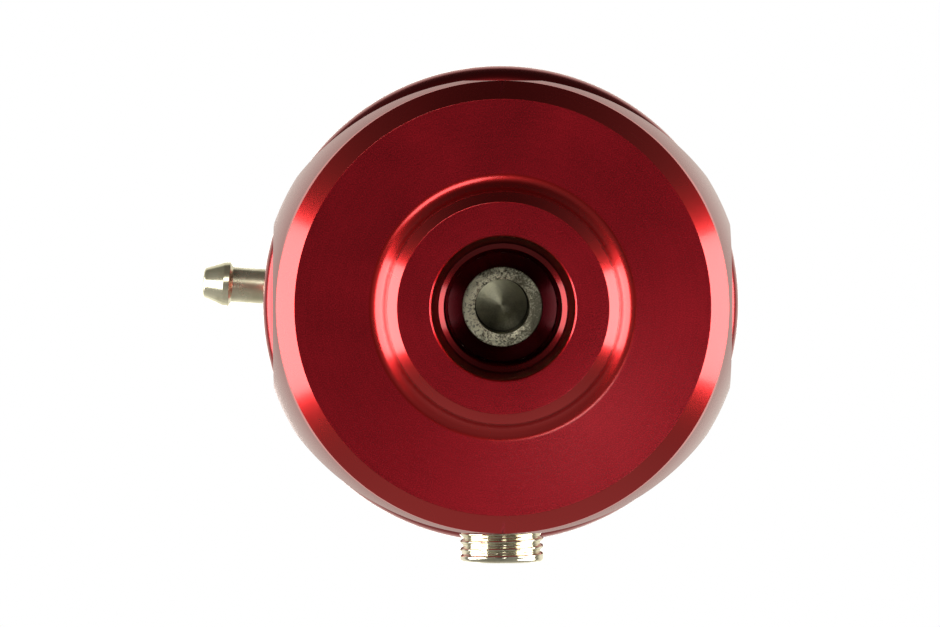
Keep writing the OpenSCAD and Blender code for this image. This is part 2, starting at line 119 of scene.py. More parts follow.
class Socket:
    """A shader socket that can be used in Python arithmetic."""

    def __init__(self, tree: "Tree", out: bpy.types.NodeSocket) -> None:
        """Keeps the tree and the output socket that this stands for."""
        self.tree = tree
        self.out = out

    def _math(self, operation: str, *values: Any) -> "Socket":
        """Adds one Math node.

        Args:
            operation: the Math node's operation.
            values: numbers or sockets, in the node's order.

        Returns:
            The node's value.
        """
        return self.tree.node("ShaderNodeMath", {"operation": operation}, dict(enumerate(values)))

    def __add__(self, other: Any) -> "Socket":
        """Sum."""
        return self._math("ADD", self, other)

    def __radd__(self, other: Any) -> "Socket":
        """Sum with a number on the left."""
        return self._math("ADD", other, self)

    def __sub__(self, other: Any) -> "Socket":
        """Difference."""
        return self._math("SUBTRACT", self, other)

    def __rsub__(self, other: Any) -> "Socket":
        """Difference from a number on the left."""
        return self._math("SUBTRACT", other, self)

    def __mul__(self, other: Any) -> "Socket":
        """Product."""
        return self._math("MULTIPLY", self, other)

    def __rmul__(self, other: Any) -> "Socket":
        """Product with a number on the left."""
        return self._math("MULTIPLY", other, self)

    def __truediv__(self, other: Any) -> "Socket":
        """Quotient."""
        return self._math("DIVIDE", self, other)

    def root(self) -> "Socket":
        """Square root."""
        return self._math("SQRT", self)

    def sine(self) -> "Socket":
        """Sine of an angle in radians."""
        return self._math("SINE", self)

    def size(self) -> "Socket":
        """Absolute value."""
        return self._math("ABSOLUTE", self)

    def most(self, other: Any) -> "Socket":
        """Greater of two values."""
        return self._math("MAXIMUM", self, other)

    def step(self, low: float, high: float) -> "Socket":
        """Rises smoothly from 0 at low to 1 at high.

        Args:
            low: where the rise starts.
            high: where the rise ends.

        Returns:
            The smooth step.
        """
        return self.tree.node("ShaderNodeMapRange", {"interpolation_type": "SMOOTHSTEP"},
                              {"Value": self, "From Min": low, "From Max": high}, "Result")


class Tree:
    """Builds the nodes of one material or of the world."""

    def __init__(self, owner: Any) -> None:
        """Clears the owner's node tree.

        Args:
            owner: a material or a world.
        """
        owner.use_nodes = True
        self.tree = owner.node_tree
        self.tree.nodes.clear()

    def node(self, kind: str, settings: dict[str, Any] | None = None, values: dict[Any, Any] | None = None,
             out: Any = 0) -> Socket:
        """Adds one node.

        Args:
            kind: the node's type.
            settings: properties set before the sockets.
            values: numbers, colours or sockets by input name or index.
            out: name or index of the output that is wanted.

        Returns:
            The wanted output.
        """
        node = self.tree.nodes.new(kind)
        for key, value in (settings or {}).items():
            setattr(node, key, value)
        for key, value in (values or {}).items():
            if isinstance(value, Socket):
                self.tree.links.new(value.out, node.inputs[key])
            elif isinstance(value, tuple) and len(value) == 3 and node.inputs[key].type == "RGBA":
                node.inputs[key].default_value = (*value, 1.0)
            else:
                node.inputs[key].default_value = value
        return Socket(self, node.outputs[out])

    def place(self, out: str = "Object") -> Socket:
        """Coordinates of the surface, in metres in the CAD frame.

        Args:
            out: which of the coordinates.

        Returns:
            The coordinate vector.
        """
        return self.node("ShaderNodeTexCoord", out=out)

    def axes(self, vector: Socket) -> tuple[Socket, Socket, Socket]:
        """Splits a vector.

        Args:
            vector: the vector socket.

        Returns:
            Its X, Y and Z.
        """
        first = self.node("ShaderNodeSeparateXYZ", {}, {0: vector})
        return tuple(Socket(self, out) for out in first.out.node.outputs)

    def radius(self, vector: Socket) -> Socket:
        """Distance from the Z axis in millimetres: the root of x squared plus y squared."""
        x, y, _ = self.axes(vector)
        return (x * x + y * y).root() / MM

    def polish(self) -> Socket:
        """The mesh's polish attribute."""
        return self.node("ShaderNodeAttribute", {"attribute_name": "polish"}, out="Fac")

    def noise(self, vector: Socket, per_mm: float, detail: float = 2.0, rough: float = 0.5) -> Socket:
        """Noise on a vector in metres.

        Args:
            vector: the coordinates.
            per_mm: how many features to a millimetre.
            detail: octaves of the noise.
            rough: weight of the finer octaves.

        Returns:
            The noise, mostly between 0.3 and 0.7.
        """
        return self.node("ShaderNodeTexNoise", {}, {"Vector": vector, "Scale": per_mm / MM, "Detail": detail,
                                                   "Roughness": rough}, "Fac")

    def blend(self, factor: Any, first: Any, second: Any) -> Socket:
        """Mixes two colours.

        Args:
            factor: share of the second colour.
            first: colour or socket.
            second: colour or socket.

        Returns:
            The mixed colour.
        """
        return self.node("ShaderNodeMix", {"data_type": "RGBA"}, {0: factor, 6: first, 7: second}, 2)

    def bump(self, height: Socket, depth_mm: float, strength: float = 1.0) -> Socket:
        """Turns a height between 0 and 1 into a bumped normal.

        Args:
            height: the height map.
            depth_mm: height of 1 in millimetres.
            strength: share of the bump that is used.

        Returns:
            The normal.
        """
        return self.node("ShaderNodeBump", {}, {"Strength": strength, "Distance": depth_mm * MM, "Height": height})

    def principled(self, **values: Any) -> Socket:
        """Adds the surface shader, with underscores for the spaces in its sockets' names.

        Args:
            values: numbers, colours or sockets by socket name.

        Returns:
            The shader.
        """
        named = {key.replace("_", " "): value for key, value in values.items()}
        return self.node("ShaderNodeBsdfPrincipled", {}, named)

    def finish(self, shader: Socket, kind: str = "ShaderNodeOutputMaterial") -> None:
        """Joins a shader to the output.

        Args:
            shader: the finished shader.
            kind: type of the output node.
        """
        target = self.tree.nodes.new(kind)
        self.tree.links.new(shader.out, target.inputs["Surface"])


@dataclass(frozen=True)
class Anodised:
    """Red dyed anodic layer on turned aluminium.

    The mesh's polish attribute is 0 on satin faces and 1 where a tool finished an edge. Below 0 the colour falls
    towards a dark colour, as painted shade: all the way at -1, in bores and in the chamber, and part of the way on
    the walls, the flare, the ledges and the cap's foot. The coat thins there too.
    """

    name: str = "red_anodised"
    deep: Colour = (0.455, 0.008, 0.020)
    light: Colour = (0.735, 0.017, 0.036)
    cut: Colour = (0.56, 0.009, 0.011)
    # Colour of the painted shade in bores and, part of the way, on walls, the flare, ledges and the cap's foot.
    painted_shade: Colour = (0.03, 0.0006, 0.002)
    satin: float = 0.29
    bright: float = 0.27
    coat_rough: float = 0.15
    bump_mm: float = 0.009
    grain_per_mm: float = 7.0
    cloud_per_mm: float = 0.12
    spark_per_mm: float = 9.0
    rings_mm: tuple[float, float] = (0.42, 1.31)

    def material(self) -> bpy.types.Material:
        """Builds the finish from grain, faint lathe rings and the mesh's polish attribute.

        Returns:
            The material.
        """
        made = bpy.data.materials.new(self.name)
        t = Tree(made)
        at, polish = t.place(), t.polish()
        dark, matt = 0.0 - polish, 1.0 - polish.size()
        grain = t.noise(at, self.grain_per_mm, rough=0.6)
        cloud = t.noise(at, self.cloud_per_mm, 3.0)
        radius = t.radius(at)
        fine, coarse = (radius * (TURN / pitch) for pitch in self.rings_mm)
        rings = ((fine + cloud * 5.0).sine() + coarse.sine()) * 0.25 + 0.5
        sparkle = t.noise(at, self.spark_per_mm, 0.0).step(0.60, 0.74)
        tone = (grain - 0.5) * 2.2 * matt + cloud * 0.6 + rings * 0.12 + sparkle * matt
        dye = t.blend(tone.step(0.0, 1.0), self.deep, self.light)
        dye = t.blend(polish.size().step(0.0, 0.8), dye, self.cut)
        rough = self.bright + matt * (self.satin - self.bright) + (grain - 0.5) * 0.12 * matt + (cloud - 0.5) * 0.06
        # Below polish 0 the colour falls towards the dark colour and the coat thins: this is painted shade.
        t.finish(t.principled(Base_Color=t.blend(dark.step(0.0, 1.0), dye, self.painted_shade), Metallic=1.0,
                              Roughness=rough, Normal=t.bump(grain * matt + rings * 0.10, self.bump_mm, 0.45), IOR=1.6,
                              Coat_Weight=1.0 - dark.step(0.35, 1.0) * 0.9, Coat_Roughness=self.coat_rough,
                              Coat_IOR=1.5))
        return made


@dataclass(frozen=True)
class TurnedMetal:
    """Bare or plated metal with the marks of the lathe, pits and stains.

    The colour goes from tone to a stain and shade colour by a share: blotch weighs its clouds, pits and streak add
    to it, fade adds so much for each millimetre along X and Y as painted shade on one side, and a ring from a given
    radius out is a painted shadow at a bore's edge. Lathe is the anisotropy of turned faces, and gloss the roughness
    where the mesh's polish is 1.
    """

    name: str
    tone: Colour
    # Colour of stains, and of painted shade where the fade or the shadow ring adds to the share.
    stain_and_shade: Colour
    rough: float
    bump_mm: float = 0.004
    rings_mm: float = 0.0
    pits: float = 0.0
    streak: float = 0.0
    lathe: float = 0.0
    grain: float = 0.25
    # Painted shade: share added for each millimetre along X and Y.
    fade: tuple[float, float] = (0.0, 0.0)
    blotch: float = 1.0
    gloss: float = 0.0
    metal: float = 1.0
    # Radius where a painted shadow ring starts at the bore's edge, and the width of its soft edge.
    shadow_ring_r: float = 0.0
    shadow_ring_edge: float = 0.15
    cloud_per_mm: float = 0.35
    fine_per_mm: float = 4.6
    pits_per_mm: float = 3.2
    lines_per_mm: float = 1.2

    def material(self) -> bpy.types.Material:
        """Builds the finish from rings about the axis, pits and stains.

        Returns:
            The material.
        """
        made = bpy.data.materials.new(self.name)
        t = Tree(made)
        at = t.place()
        x, y, _ = t.axes(at)
        cloud = t.noise(at, self.cloud_per_mm, 4.0, 0.6)
        fine = t.noise(at, self.fine_per_mm, 3.0, 0.65)
        dirt_and_shade = (cloud * (1.0 - self.grain) + fine * self.grain).step(0.36, 0.66) * self.blotch
        rough = self.rough + (fine - 0.5) * self.grain * 0.6 + (cloud - 0.5) * 0.10
        if self.gloss:
            rough = rough + t.polish() * (self.gloss - self.rough)
        height = fine * self.grain * 1.2
        if self.rings_mm:
            rings = (t.radius(at) * (TURN / self.rings_mm) + cloud * 2.0).sine() * 0.5 + 0.5
            height = height + rings
            rough = rough + rings * 0.05
        if self.pits:
            spots = t.noise(at, self.pits_per_mm, 3.0, 0.7).step(0.52, 0.68)
            dirt_and_shade = dirt_and_shade + spots * self.pits
            height = height - spots * self.pits
            rough = rough + spots * 0.2
        if self.streak:
            drawn = t.node("ShaderNodeMapping", {}, {"Vector": at, "Scale": (0.25, 0.25, 3.0)})
            dirt_and_shade = dirt_and_shade + (t.noise(drawn, self.lines_per_mm) - 0.5) * self.streak
        # Painted shade: the colour grows darker towards one side, as the light falls.
        if any(self.fade):
            dirt_and_shade = dirt_and_shade + x * (self.fade[0] / MM) + y * (self.fade[1] / MM) + (1.0 - self.blotch) * 0.4
        # Painted shadow: a dark ring from this radius out, where the bore's edge shades the face.
        if self.shadow_ring_r:
            dirt_and_shade = dirt_and_shade + t.radius(at).step(self.shadow_ring_r, self.shadow_ring_r + self.shadow_ring_edge)
        colour = t.blend(dirt_and_shade.step(0.0, 1.0), self.tone, self.stain_and_shade)
        t.finish(t.principled(Base_Color=colour, Metallic=self.metal, Roughness=rough,
                              Normal=t.bump(height, self.bump_mm, 0.8), Anisotropic=self.lathe,
                              Anisotropic_Rotation=0.25))
        return made


@dataclass(frozen=True)
class Rubber:
    """Moulded rubber, with a woven cord showing through where it is a diaphragm."""

    name: str
    tone: Colour
    weave_mm: float = 0.0

    def material(self) -> bpy.types.Material:
        """Builds the finish from a soft bloom, mould grain and the weave.

        Returns:
            The material.
        """
        made = bpy.data.materials.new(self.name)
        t = Tree(made)
        at = t.place()
        x, y, _ = t.axes(at)
        bloom = t.noise(at, 0.25, 4.0)
        height = t.noise(at, 5.0, 2.0)
        if self.weave_mm:
            step = TURN / (self.weave_mm * MM)
            height = height * 0.3 + (x * step).sine() * (y * step).sine() * 0.5
        paler = tuple(min(1.0, c * 2.2 + 0.01) for c in self.tone)
        colour = t.blend(bloom.step(0.35, 0.75), self.tone, paler)
        t.finish(t.principled(Base_Color=colour, Roughness=0.62 + bloom * 0.2, Normal=t.bump(height, 0.02, 0.6)))
        return made


Finish = Anodised | TurnedMetal | Rubber


def rounded(corners: Profile, steps: int = 7) -> Array:
    """Rounds the corners of an open profile.

    Each corner with a radius gives way to an arc that touches both of its sides: the arc starts and ends at
    radius / tan(half the corner's angle) from the corner, and its points are spread evenly in angle.

    Args:
        corners: radius, height and rounding of each corner, in millimetres.
        steps: segments in each arc.

    Returns:
        The profile's points, radius and height.
    """
    points: list[Array] = []
    raw = [np.array(c[:2], float) for c in corners]
    for i, (corner, c) in enumerate(zip(raw, corners)):
        if c[2] <= 0 or i in (0, len(raw) - 1):
            points.append(corner[None, :])
            continue
        back, on = raw[i - 1] - corner, raw[i + 1] - corner
        back, on = back / np.linalg.norm(back), on / np.linalg.norm(on)
        half = np.arccos(np.clip(back @ on, -1, 1)) / 2
        middle = corner + (back + on) / np.linalg.norm(back + on) * c[2] / np.sin(half)
        start = corner + back * c[2] / np.tan(half) - middle
        end = corner + on * c[2] / np.tan(half) - middle
        a0, a1 = atan2(start[1], start[0]), atan2(end[1], end[0])
        sweep = (a1 - a0 + pi) % TURN - pi
        a = a0 + sweep * np.linspace(0, 1, steps + 1)
        points.append(middle + c[2] * np.stack([np.cos(a), np.sin(a)], 1))
    return np.concatenate(points)


def columns(count: int, corners: Sequence[float] = ()) -> Array:
    """Angles of a turned mesh's columns.

    Args:
        count: evenly spread columns.
        corners: further angles, in radians, where the outline has a corner.

    Returns:
        Sorted angles from 0 to a full turn.
    """
    even = np.arange(count) * TURN / count
    extra = np.mod(np.array(corners, float), TURN)
    if len(extra):
        even = even[np.all(np.abs(even[:, None] - extra[None, :]) > SAME_RAD, axis=1)]
    return np.sort(np.concatenate([even, extra]))


def hexagon(angle: Array, across: float) -> Array:
    """Distance of a hexagon's side from its centre, which is half the width over the cosine of the angle to the flat.

    Args:
        angle: directions, in radians; a corner lies at 0.
        across: width across the flats.

    Returns:
        The distances.
    """
    return across / 2 / np.cos(np.mod(angle, pi / 3) - pi / 6)


HEX_CORNERS = tuple(i * pi / 3 for i in range(6))


def helix(angle: Array, height: Array, pitch: float) -> Array:
    """Depth of a sixty degree thread: a flattened triangle wave of height over pitch less angle over a turn.

    Args:
        angle: directions, in radians.
        height: heights, in millimetres.
        pitch: rise of the thread in one turn.

    Returns:
        0 at a crest and 1 at a root.
    """
    phase = np.mod(height / pitch - angle / TURN, 1.0)
    return np.clip(np.abs(phase - 0.5) * 2.6 - 0.3, 0.0, 1.0)


def rolled(angle: Array, height: Array, pitch: float) -> Array:
    """Depth of a rolled thread: half of one plus the cosine of a turn times height over pitch less angle over a turn.

    Args:
        angle: directions, in radians.
        height: heights, in millimetres.
        pitch: rise of the thread in one turn.

    Returns:
        0 at a crest and 1 at a root.
    """
    return (1.0 + np.cos(TURN * height / pitch - angle)) / 2


def spread(profile: Array, angle: Array) -> Array:
    """The same radius and height in every column."""
    return np.repeat(profile[:, None, :], len(angle), 1)


def stacked(angle: Array, *rows: tuple[Any, Any]) -> Array:
    """Rows of a section, one after the other.

    Args:
        angle: the columns' angles.
        rows: radius and height of each row, as numbers or with one value for each column.

    Returns:
        Radius and height by row and column.
    """
    wide = (np.broadcast_arrays(*(np.asarray(value, float) for value in row), angle)[:2] for row in rows)
    return np.stack([np.stack(pair, -1) for pair in wide])


def walled(radius: Array, height: Array) -> Array:
    """Rows of a wall, from its radius by row and column and a column of heights."""
    return np.stack(np.broadcast_arrays(radius, height), -1)


def revolve(profile: Array, angle: Array) -> Array:
    """Carries a profile round the Z axis: x is radius times cosine, y is radius times sine.

    Args:
        profile: radius and height of each row, or of each row and column.
        angle: the columns' angles.

    Returns:
        Points by row, column and axis.
    """
    if profile.ndim == 2:
        profile = spread(profile, angle)
    radius, height = profile[..., 0], profile[..., 1]
    return np.stack([radius * np.cos(angle), radius * np.sin(angle), height], -1)


@dataclass
class Piece:
    """One visible piece: its grid of points in millimetres and the way its rows join."""

    name: str
    points: Array
    loop: bool = False
    polish: Array | None = None
    turned: Matrix = field(default_factory=lambda: Matrix.Identity(4))
    copies: Sequence[Matrix] = (Matrix.Identity(4),)

    def mesh(self) -> bpy.types.Mesh:
        """Makes the closed mesh: quads between neighbouring rows and columns, doubles merged at the poles.

        Returns:
            The mesh, in metres.
        """
        rows, cols = self.points.shape[:2]
        last = rows if self.loop else rows - 1
        i, j = np.meshgrid(np.arange(last), np.arange(cols), indexing="ij")
        i2, j2 = (i + 1) % rows, (j + 1) % cols
        faces = np.stack([i * cols + j, i * cols + j2, i2 * cols + j2, i2 * cols + j], -1).reshape(-1, 4)
        flat = self.points.reshape(-1, 3) * MM
        flat = np.concatenate([flat, np.ones((len(flat), 1))], 1)
        moved = [(flat @ np.array(m @ self.turned).T)[:, :3] for m in self.metre_copies()]
        verts = np.concatenate(moved)
        faces = np.concatenate([faces + k * len(flat) for k in range(len(moved))])
        mesh = bpy.data.meshes.new(self.name)
        mesh.from_pydata(verts, [], faces)
        if self.polish is not None:
            shine = np.repeat(np.asarray(self.polish, np.float32), cols)
            mesh.attributes.new("polish", "FLOAT", "POINT").data.foreach_set("value", np.tile(shine, len(moved)))
        work = bmesh.new()
        work.from_mesh(mesh)
        bmesh.ops.remove_doubles(work, verts=work.verts, dist=MERGE_M)
        bmesh.ops.dissolve_degenerate(work, edges=work.edges, dist=FLAT_M)
        bmesh.ops.recalc_face_normals(work, faces=work.faces)
        work.to_mesh(mesh)
        work.free()
        return mesh

    def metre_copies(self) -> list[Matrix]:
        """The copies' places, with their shifts in metres."""
        return [Matrix.Translation(m.to_translation() * MM) @ m.to_3x3().to_4x4() for m in self.copies]

    def build(self, cutters: Sequence["Piece"] = ()) -> bpy.types.Object:
        """Makes the object, cuts it and sets which of its edges are sharp.

        Args:
            cutters: closed pieces whose space is taken away.

        Returns:
            The object, at the origin.
        """
        made = bpy.data.objects.new(self.name, self.mesh())
        bpy.context.collection.objects.link(made)
        for cutter in cutters:
            tool = bpy.data.objects.new(cutter.name, cutter.mesh())
            bpy.context.collection.objects.link(tool)
            cut = made.modifiers.new(cutter.name, "BOOLEAN")
            cut.operation, cut.solver, cut.object = "DIFFERENCE", "EXACT", tool
            bpy.context.view_layer.update()
            done = bpy.data.meshes.new_from_object(made.evaluated_get(bpy.context.evaluated_depsgraph_get()))
            made.modifiers.clear()
            made.data = done
            bpy.data.objects.remove(tool)
        made.data.shade_smooth()
        made.data.set_sharp_from_angle(angle=radians(SHARP_DEG))
        return made


class Wardrobe:
    """Makes each finish once, and dresses pieces and CAD nodes in it."""

    def __init__(self) -> None:
        """Starts with no materials made."""
        self.made: dict[str, bpy.types.Material] = {}

    def dress(self, made: bpy.types.Object, finish: Finish) -> None:
        """Gives an object one finish.

        Args:
            made: the object.
            finish: a finish with a name and a material method.
        """
        if finish.name not in self.made:
            self.made[finish.name] = finish.material()
        if made.data.materials:
            made.data.materials[0] = self.made[finish.name]
        else:
            made.data.materials.append(self.made[finish.name])

    def seat(self, made: bpy.types.Object, finish: Finish, body: Body | None, slot: str,
             *nodes: str) -> bpy.types.Object:
        """Dresses a new piece, and lets it ride and stand for CAD nodes.

        Args:
            made: the new piece.
            finish: its finish.
            body: the body that carries it, or nothing for a piece that lies between two.
            slot: the name of a material slot; not used.
            nodes: the CAD nodes that it stands for.

        Returns:
            The piece.
        """
        self.dress(made, finish)
        if body:
            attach(made, body.value)
        if nodes:
            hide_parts(*nodes)
        log.info("%s: %d faces on %s", made.name, len(made.data.polygons), body.value if body else "two bodies")
        return made


ANODISED = Anodised()
# The seat's fade paints shade, darker towards -X and a little towards -Y.
SEAT_STEEL = TurnedMetal("seat_steel", (0.94, 0.91, 0.68), (0.22, 0.21, 0.15), 0.38, 0.06, pits=0.75, grain=0.5,
                         fade=(-0.09, -0.02))
# The valve's fade paints the bore's shadow, darker towards -Y, and its ring paints the shadow at the bore's edge.
VALVE_STEEL = TurnedMetal("valve_steel", (0.78, 0.77, 0.59), (0.075, 0.071, 0.052), 0.33, rings_mm=0.24, lathe=0.94,
                          fade=(-0.01, -0.13), blotch=0.25, shadow_ring_r=3.06)
NICKEL = TurnedMetal("nickel_plate", (0.84, 0.81, 0.65), (0.68, 0.64, 0.48), 0.13, 0.003, streak=0.15, grain=0.1,
                     metal=0.95)
SATIN_NICKEL = TurnedMetal("satin_nickel", (0.88, 0.86, 0.66), (0.70, 0.67, 0.48), 0.35, streak=0.2, grain=0.06,
                           gloss=0.20, metal=0.85)
ZINC = TurnedMetal("zinc_plate", (0.62, 0.62, 0.60), (0.40, 0.40, 0.39), 0.30, 0.006, pits=0.2)
BLACKED = TurnedMetal("black_oxide", (0.045, 0.045, 0.048), (0.10, 0.095, 0.09), 0.36, 0.006, pits=0.2)
SPRING_WIRE = TurnedMetal("spring_wire", (0.36, 0.36, 0.37), (0.20, 0.20, 0.20), 0.32, 0.005, pits=0.2)
TURNED_ALLOY = TurnedMetal("turned_alloy", (0.66, 0.66, 0.66), (0.45, 0.45, 0.45), 0.28, 0.006, rings_mm=0.25)
BALL_STEEL = TurnedMetal("ball_steel", (0.70, 0.70, 0.71), (0.60, 0.60, 0.60), 0.08)
SEAL_RUBBER = Rubber("seal_rubber", (0.018, 0.018, 0.019))
SKIN_RUBBER = Rubber("diaphragm_rubber", (0.022, 0.021, 0.02), 0.6)


@dataclass
class OringPort:
    """A straight-thread port with a steep O-ring seat."""

    mouth_r: float = 8.56
    edge: float = 0.2
    seat_r: float = 7.68
    seat_h: float = 3.0
    ledge_r: float = 7.06
    ledge_h: float = 0.34
    root_r: float = 7.1
    crest_r: float = 6.5
    pitch: float = 1.411
    floor_deg: float = 28.0
    thread_start: float = 0.35
    runout: float = 0.6
    per_pitch: int = 14

    def rise(self, floor_r: float) -> float:
        """Height that the drilled floor gains from a radius out to the wall."""
        return (self.crest_r - floor_r) * tan(radians(self.floor_deg))

    def profile(self, depth: float) -> Array:
        """Rows of the port's wall, from the edge of its floor to its mouth at height 0.

        Args:
            depth: depth of the floor's edge.

        Returns:
            Radius and depth; rows of the thread carry the crest's radius.
        """
        ledge = self.seat_h + self.ledge_h
        entry = ledge + self.ledge_r - self.crest_r
        rows = int((depth - entry) / self.pitch * self.per_pitch)
        wall = np.stack([np.full(rows, self.crest_r), np.linspace(depth, entry, rows)], 1)
        mouth = rounded([(self.crest_r, entry, 0), (self.ledge_r, ledge, Edge.CRISP),
                         (self.seat_r, self.seat_h, Edge.SOFT), (self.mouth_r, self.edge, Edge.CRISP),
                         (self.mouth_r + self.edge, 0.0, 0.0)])
        return np.concatenate([wall, mouth[1:]])

    def wall(self, depth: float, angle: Array) -> Array:
        """The port's wall with its thread cut in.

        The thread's radius is the crest's plus the helix's depth, and fades out where the entry cone is wider.

        Args:
            depth: depth of the floor's edge.
            angle: the columns' angles.

        Returns:
            Radius and depth by row and column.
        """
        rows = spread(self.profile(depth), angle)
        radius, height = rows[..., 0], rows[..., 1]
        ends = np.clip((depth - height) / self.runout, 0, 1)
        cut = (self.root_r - self.crest_r) * (1.0 - helix(angle[None, :], height, self.pitch)) * ends
        threaded = (height > self.seat_h + self.thread_start) & (self.crest_r + cut > radius)
        radius = np.where(threaded, self.crest_r + cut, radius)
        return np.stack([radius, height], -1)

    def cutter(self, name: str, depth: float, floor_r: float, turned: Matrix) -> Piece:
        """The port's space as a closed cutter.

        Args:
            name: the cutter's name.
            depth: depth of the drilled floor at its passage.
            floor_r: radius of that passage.
            turned: places the mouth's centre, with the depth along +Z.

        Returns:
            The cutter.
        """
        angle = columns(144)
        wall = self.wall(depth - self.rise(floor_r), angle)
        floor = stacked(angle, (0, depth), (floor_r, depth))
        top = stacked(angle, (wall[-1, :, 0], wall[-1, :, 1] - SPARE), (0, -SPARE))
        return Piece(name, revolve(np.concatenate([floor, wall, top]), angle), turned=turned)


def rod_cutter(name: str, radius: float, low: float, high: float, turned: Matrix, wider: float = 0.0,
               count: int = 96, copies: Sequence[Matrix] = (Matrix.Identity(4),)) -> Piece:
    """A closed round cutter along Z.

    Args:
        name: the cutter's name.
        radius: radius at the low end.
        low: low end.
        high: high end.
        turned: places the cutter.
        wider: growth of the radius at the high end.
        count: columns.
        copies: places of its copies.

    Returns:
        The cutter.
    """
    rows = np.array([[0, low], [radius, low], [radius + wider, high], [0, high]], float)
    return Piece(name, revolve(rows, columns(count)), turned=turned, copies=copies)


def along(x: float, y: float, z: float, direction: Sequence[float]) -> Matrix:
    """A place whose +Z points along a direction, in metres from millimetres.

    Args:
        x: place along X.
        y: place along Y.
        z: place along Z.
        direction: where +Z points.

    Returns:
        The matrix.
    """
    turn = Vector((0, 0, 1)).rotation_difference(Vector(direction)).to_matrix().to_4x4()
    return Matrix.Translation(Vector((x, y, z)) * MM) @ turn


@dataclass
class LowerBody:
    """The fuel side housing: a turned boss, face and flared wall, cut by flats and crowned faces."""

    body_r: float = 29.2
    body_h: float = 30.0
    boss_r: float = 13.8
    boss_chamfer: float = 1.2
    boss_h: float = 5.0
    cove_r: float = 2.25
    face_r: float = 24.85
    rim_chamfer: float = 2.2
    flare_deg: float = 20.0
    flare_end_deg: float = 9.0
    flat_x: float = 27.5
    crown_r: float = 31.7
    crown_y: float = 27.4
    pad_y: float = 27.05
    return_depth: float = 11.0
    web_z: float = 14.5
    chamber_r: float = 15.5
    free_r: float = 17.5
    under_h: float = 2.5
    seat_r: float = 4.85
    inlet_z: float = 19.0
    inlet_depth: float = 10.0
    inlet_bore_r: float = 4.2
    gauge_r: float = 5.05
    gauge_depth: float = 7.6
    taper: float = 0.03125
    bracket_r: float = 2.5
    bracket_depth: float = 8.0
    gauge_bore_r: float = 2.5
    joint_edge: float = 0.25
    port_unshaded_h: float = 0.3
    flare_rows: int = 12
    wall_rows: int = 6
    port: OringPort = field(default_factory=OringPort)

    def outline(self, angle: Array) -> Array:
        """Distance of the milled outline from the axis: the least of the cylinder, the flats, the pads and the crowns.

        A flat lies at its distance over the cosine of the angle, and a crown at the far root of the circle's equation.

        Args:
            angle: directions, in radians.

        Returns:
            The distances.
        """
        c, s = np.abs(np.cos(angle)), np.abs(np.sin(angle))
        off = self.crown_r - self.crown_y
        crown = np.sqrt(self.crown_r**2 - (off * c) ** 2) - off * s
        flat = self.flat_x / np.maximum(c, TINY)
        pad = self.pad_y / np.maximum(s, TINY)
        return np.minimum.reduce([np.full_like(angle, self.body_r), crown, flat, pad])

    def corners(self) -> list[float]:
        """Angles of the outline's corners: where flats and crowns meet the cylinder, and pads meet the crowns.

        Returns:
            The angles, in radians.
        """
        off = self.crown_r - self.crown_y
        flat = np.arccos(self.flat_x / self.body_r)
        crown = np.arcsin((self.crown_r**2 - self.body_r**2 - off**2) / (2 * self.body_r * off))
        pad = atan2(self.pad_y, sqrt(self.crown_r**2 - (self.pad_y + off) ** 2))
        return [v for a in (flat, crown, pad) for v in (a, pi - a, pi + a, -a)]

    def rows(self, angle: Array) -> tuple[Array, Array]:
        """All rows of the body's skin, as one closed loop of sections.

        The flared wall is an arc that steepens as it rises: its radius is the arc's centre plus the root of the arc's
        radius squared less the height from that centre squared. It ends where it meets the outline, so its last row
        follows that crease, and the upright wall runs on from there to the joint.

        Args:
            angle: the columns' angles.

        Returns:
            Radius and height by row and column, and each row's polish.
        """
        rim_r, rim_z = self.face_r + self.rim_chamfer, self.boss_h + self.rim_chamfer
        front = rounded([(self.port.mouth_r + self.port.edge, 0, 0), (self.boss_r - self.boss_chamfer, 0, Edge.BROKEN),
                         (self.boss_r, self.boss_chamfer, Edge.SOFT), (self.boss_r, self.boss_h, self.cove_r),
                         (self.face_r, self.boss_h, Edge.FACE), (rim_r, rim_z, 0.0)], 14)
        on_boss = np.abs(front[:, 1]) < TINY
        on_face = (np.abs(front[:, 1] - self.boss_h) < TINY) & (front[:, 0] > self.boss_r + self.cove_r - 0.01)
        edge = self.outline(angle)
        foot, head = radians(self.flare_deg), radians(self.flare_end_deg)
        bend = (self.body_r - rim_r) / (cos(head) - cos(foot))
        centre_r, centre_z = rim_r - bend * cos(foot), rim_z + bend * sin(foot)
        crease = centre_z - np.sqrt(bend**2 - (edge - centre_r) ** 2)
        t = np.linspace(0, 1, self.flare_rows + 1)[1:, None]
        level = rim_z + (crease - rim_z) * t
        flare = np.stack([centre_r + np.sqrt(bend**2 - (level - centre_z) ** 2), level], -1)
        t = np.linspace(0, 1, self.wall_rows + 1)[1:, None]
        wall = np.stack([edge + 0 * t, crease + (self.body_h - self.joint_edge - crease) * t], -1)
        top = stacked(angle, (edge - self.joint_edge, self.body_h))
        under = self.body_h - self.under_h
        inside = stacked(angle, (self.free_r, self.body_h), (self.free_r, under), (self.chamber_r, under),
                         (self.chamber_r, self.web_z), (self.seat_r, self.web_z), (self.seat_r, self.return_depth))
        port = self.port.wall(self.return_depth - self.port.rise(self.seat_r), angle)[:-1]
        past = port[:, 0, 1] - self.port.seat_h
        # Painted shade: the port's ledge and its bore beyond, the chamber's inside rows, the flare and the walls get
        # darker colour.
        bored = Polish.TOOLED.rows(len(port))
        bored[np.abs(past - self.port.ledge_h / 2) < self.port.ledge_h] = Polish.LEDGE.value
        bored[past > self.port.ledge_h + self.port_unshaded_h] = Polish.DEEP_SHADE.value
        polish = [np.where(on_boss | on_face, Polish.SATIN.value, Polish.TOOLED.value), Polish.FLARE.rows(len(flare)),
                  Polish.WALL.rows(len(wall) + len(top)), Polish.DEEP_SHADE.rows(len(inside)), bored]
        return np.concatenate([spread(front, angle), flare, wall, top, inside, port]), np.concatenate(polish)

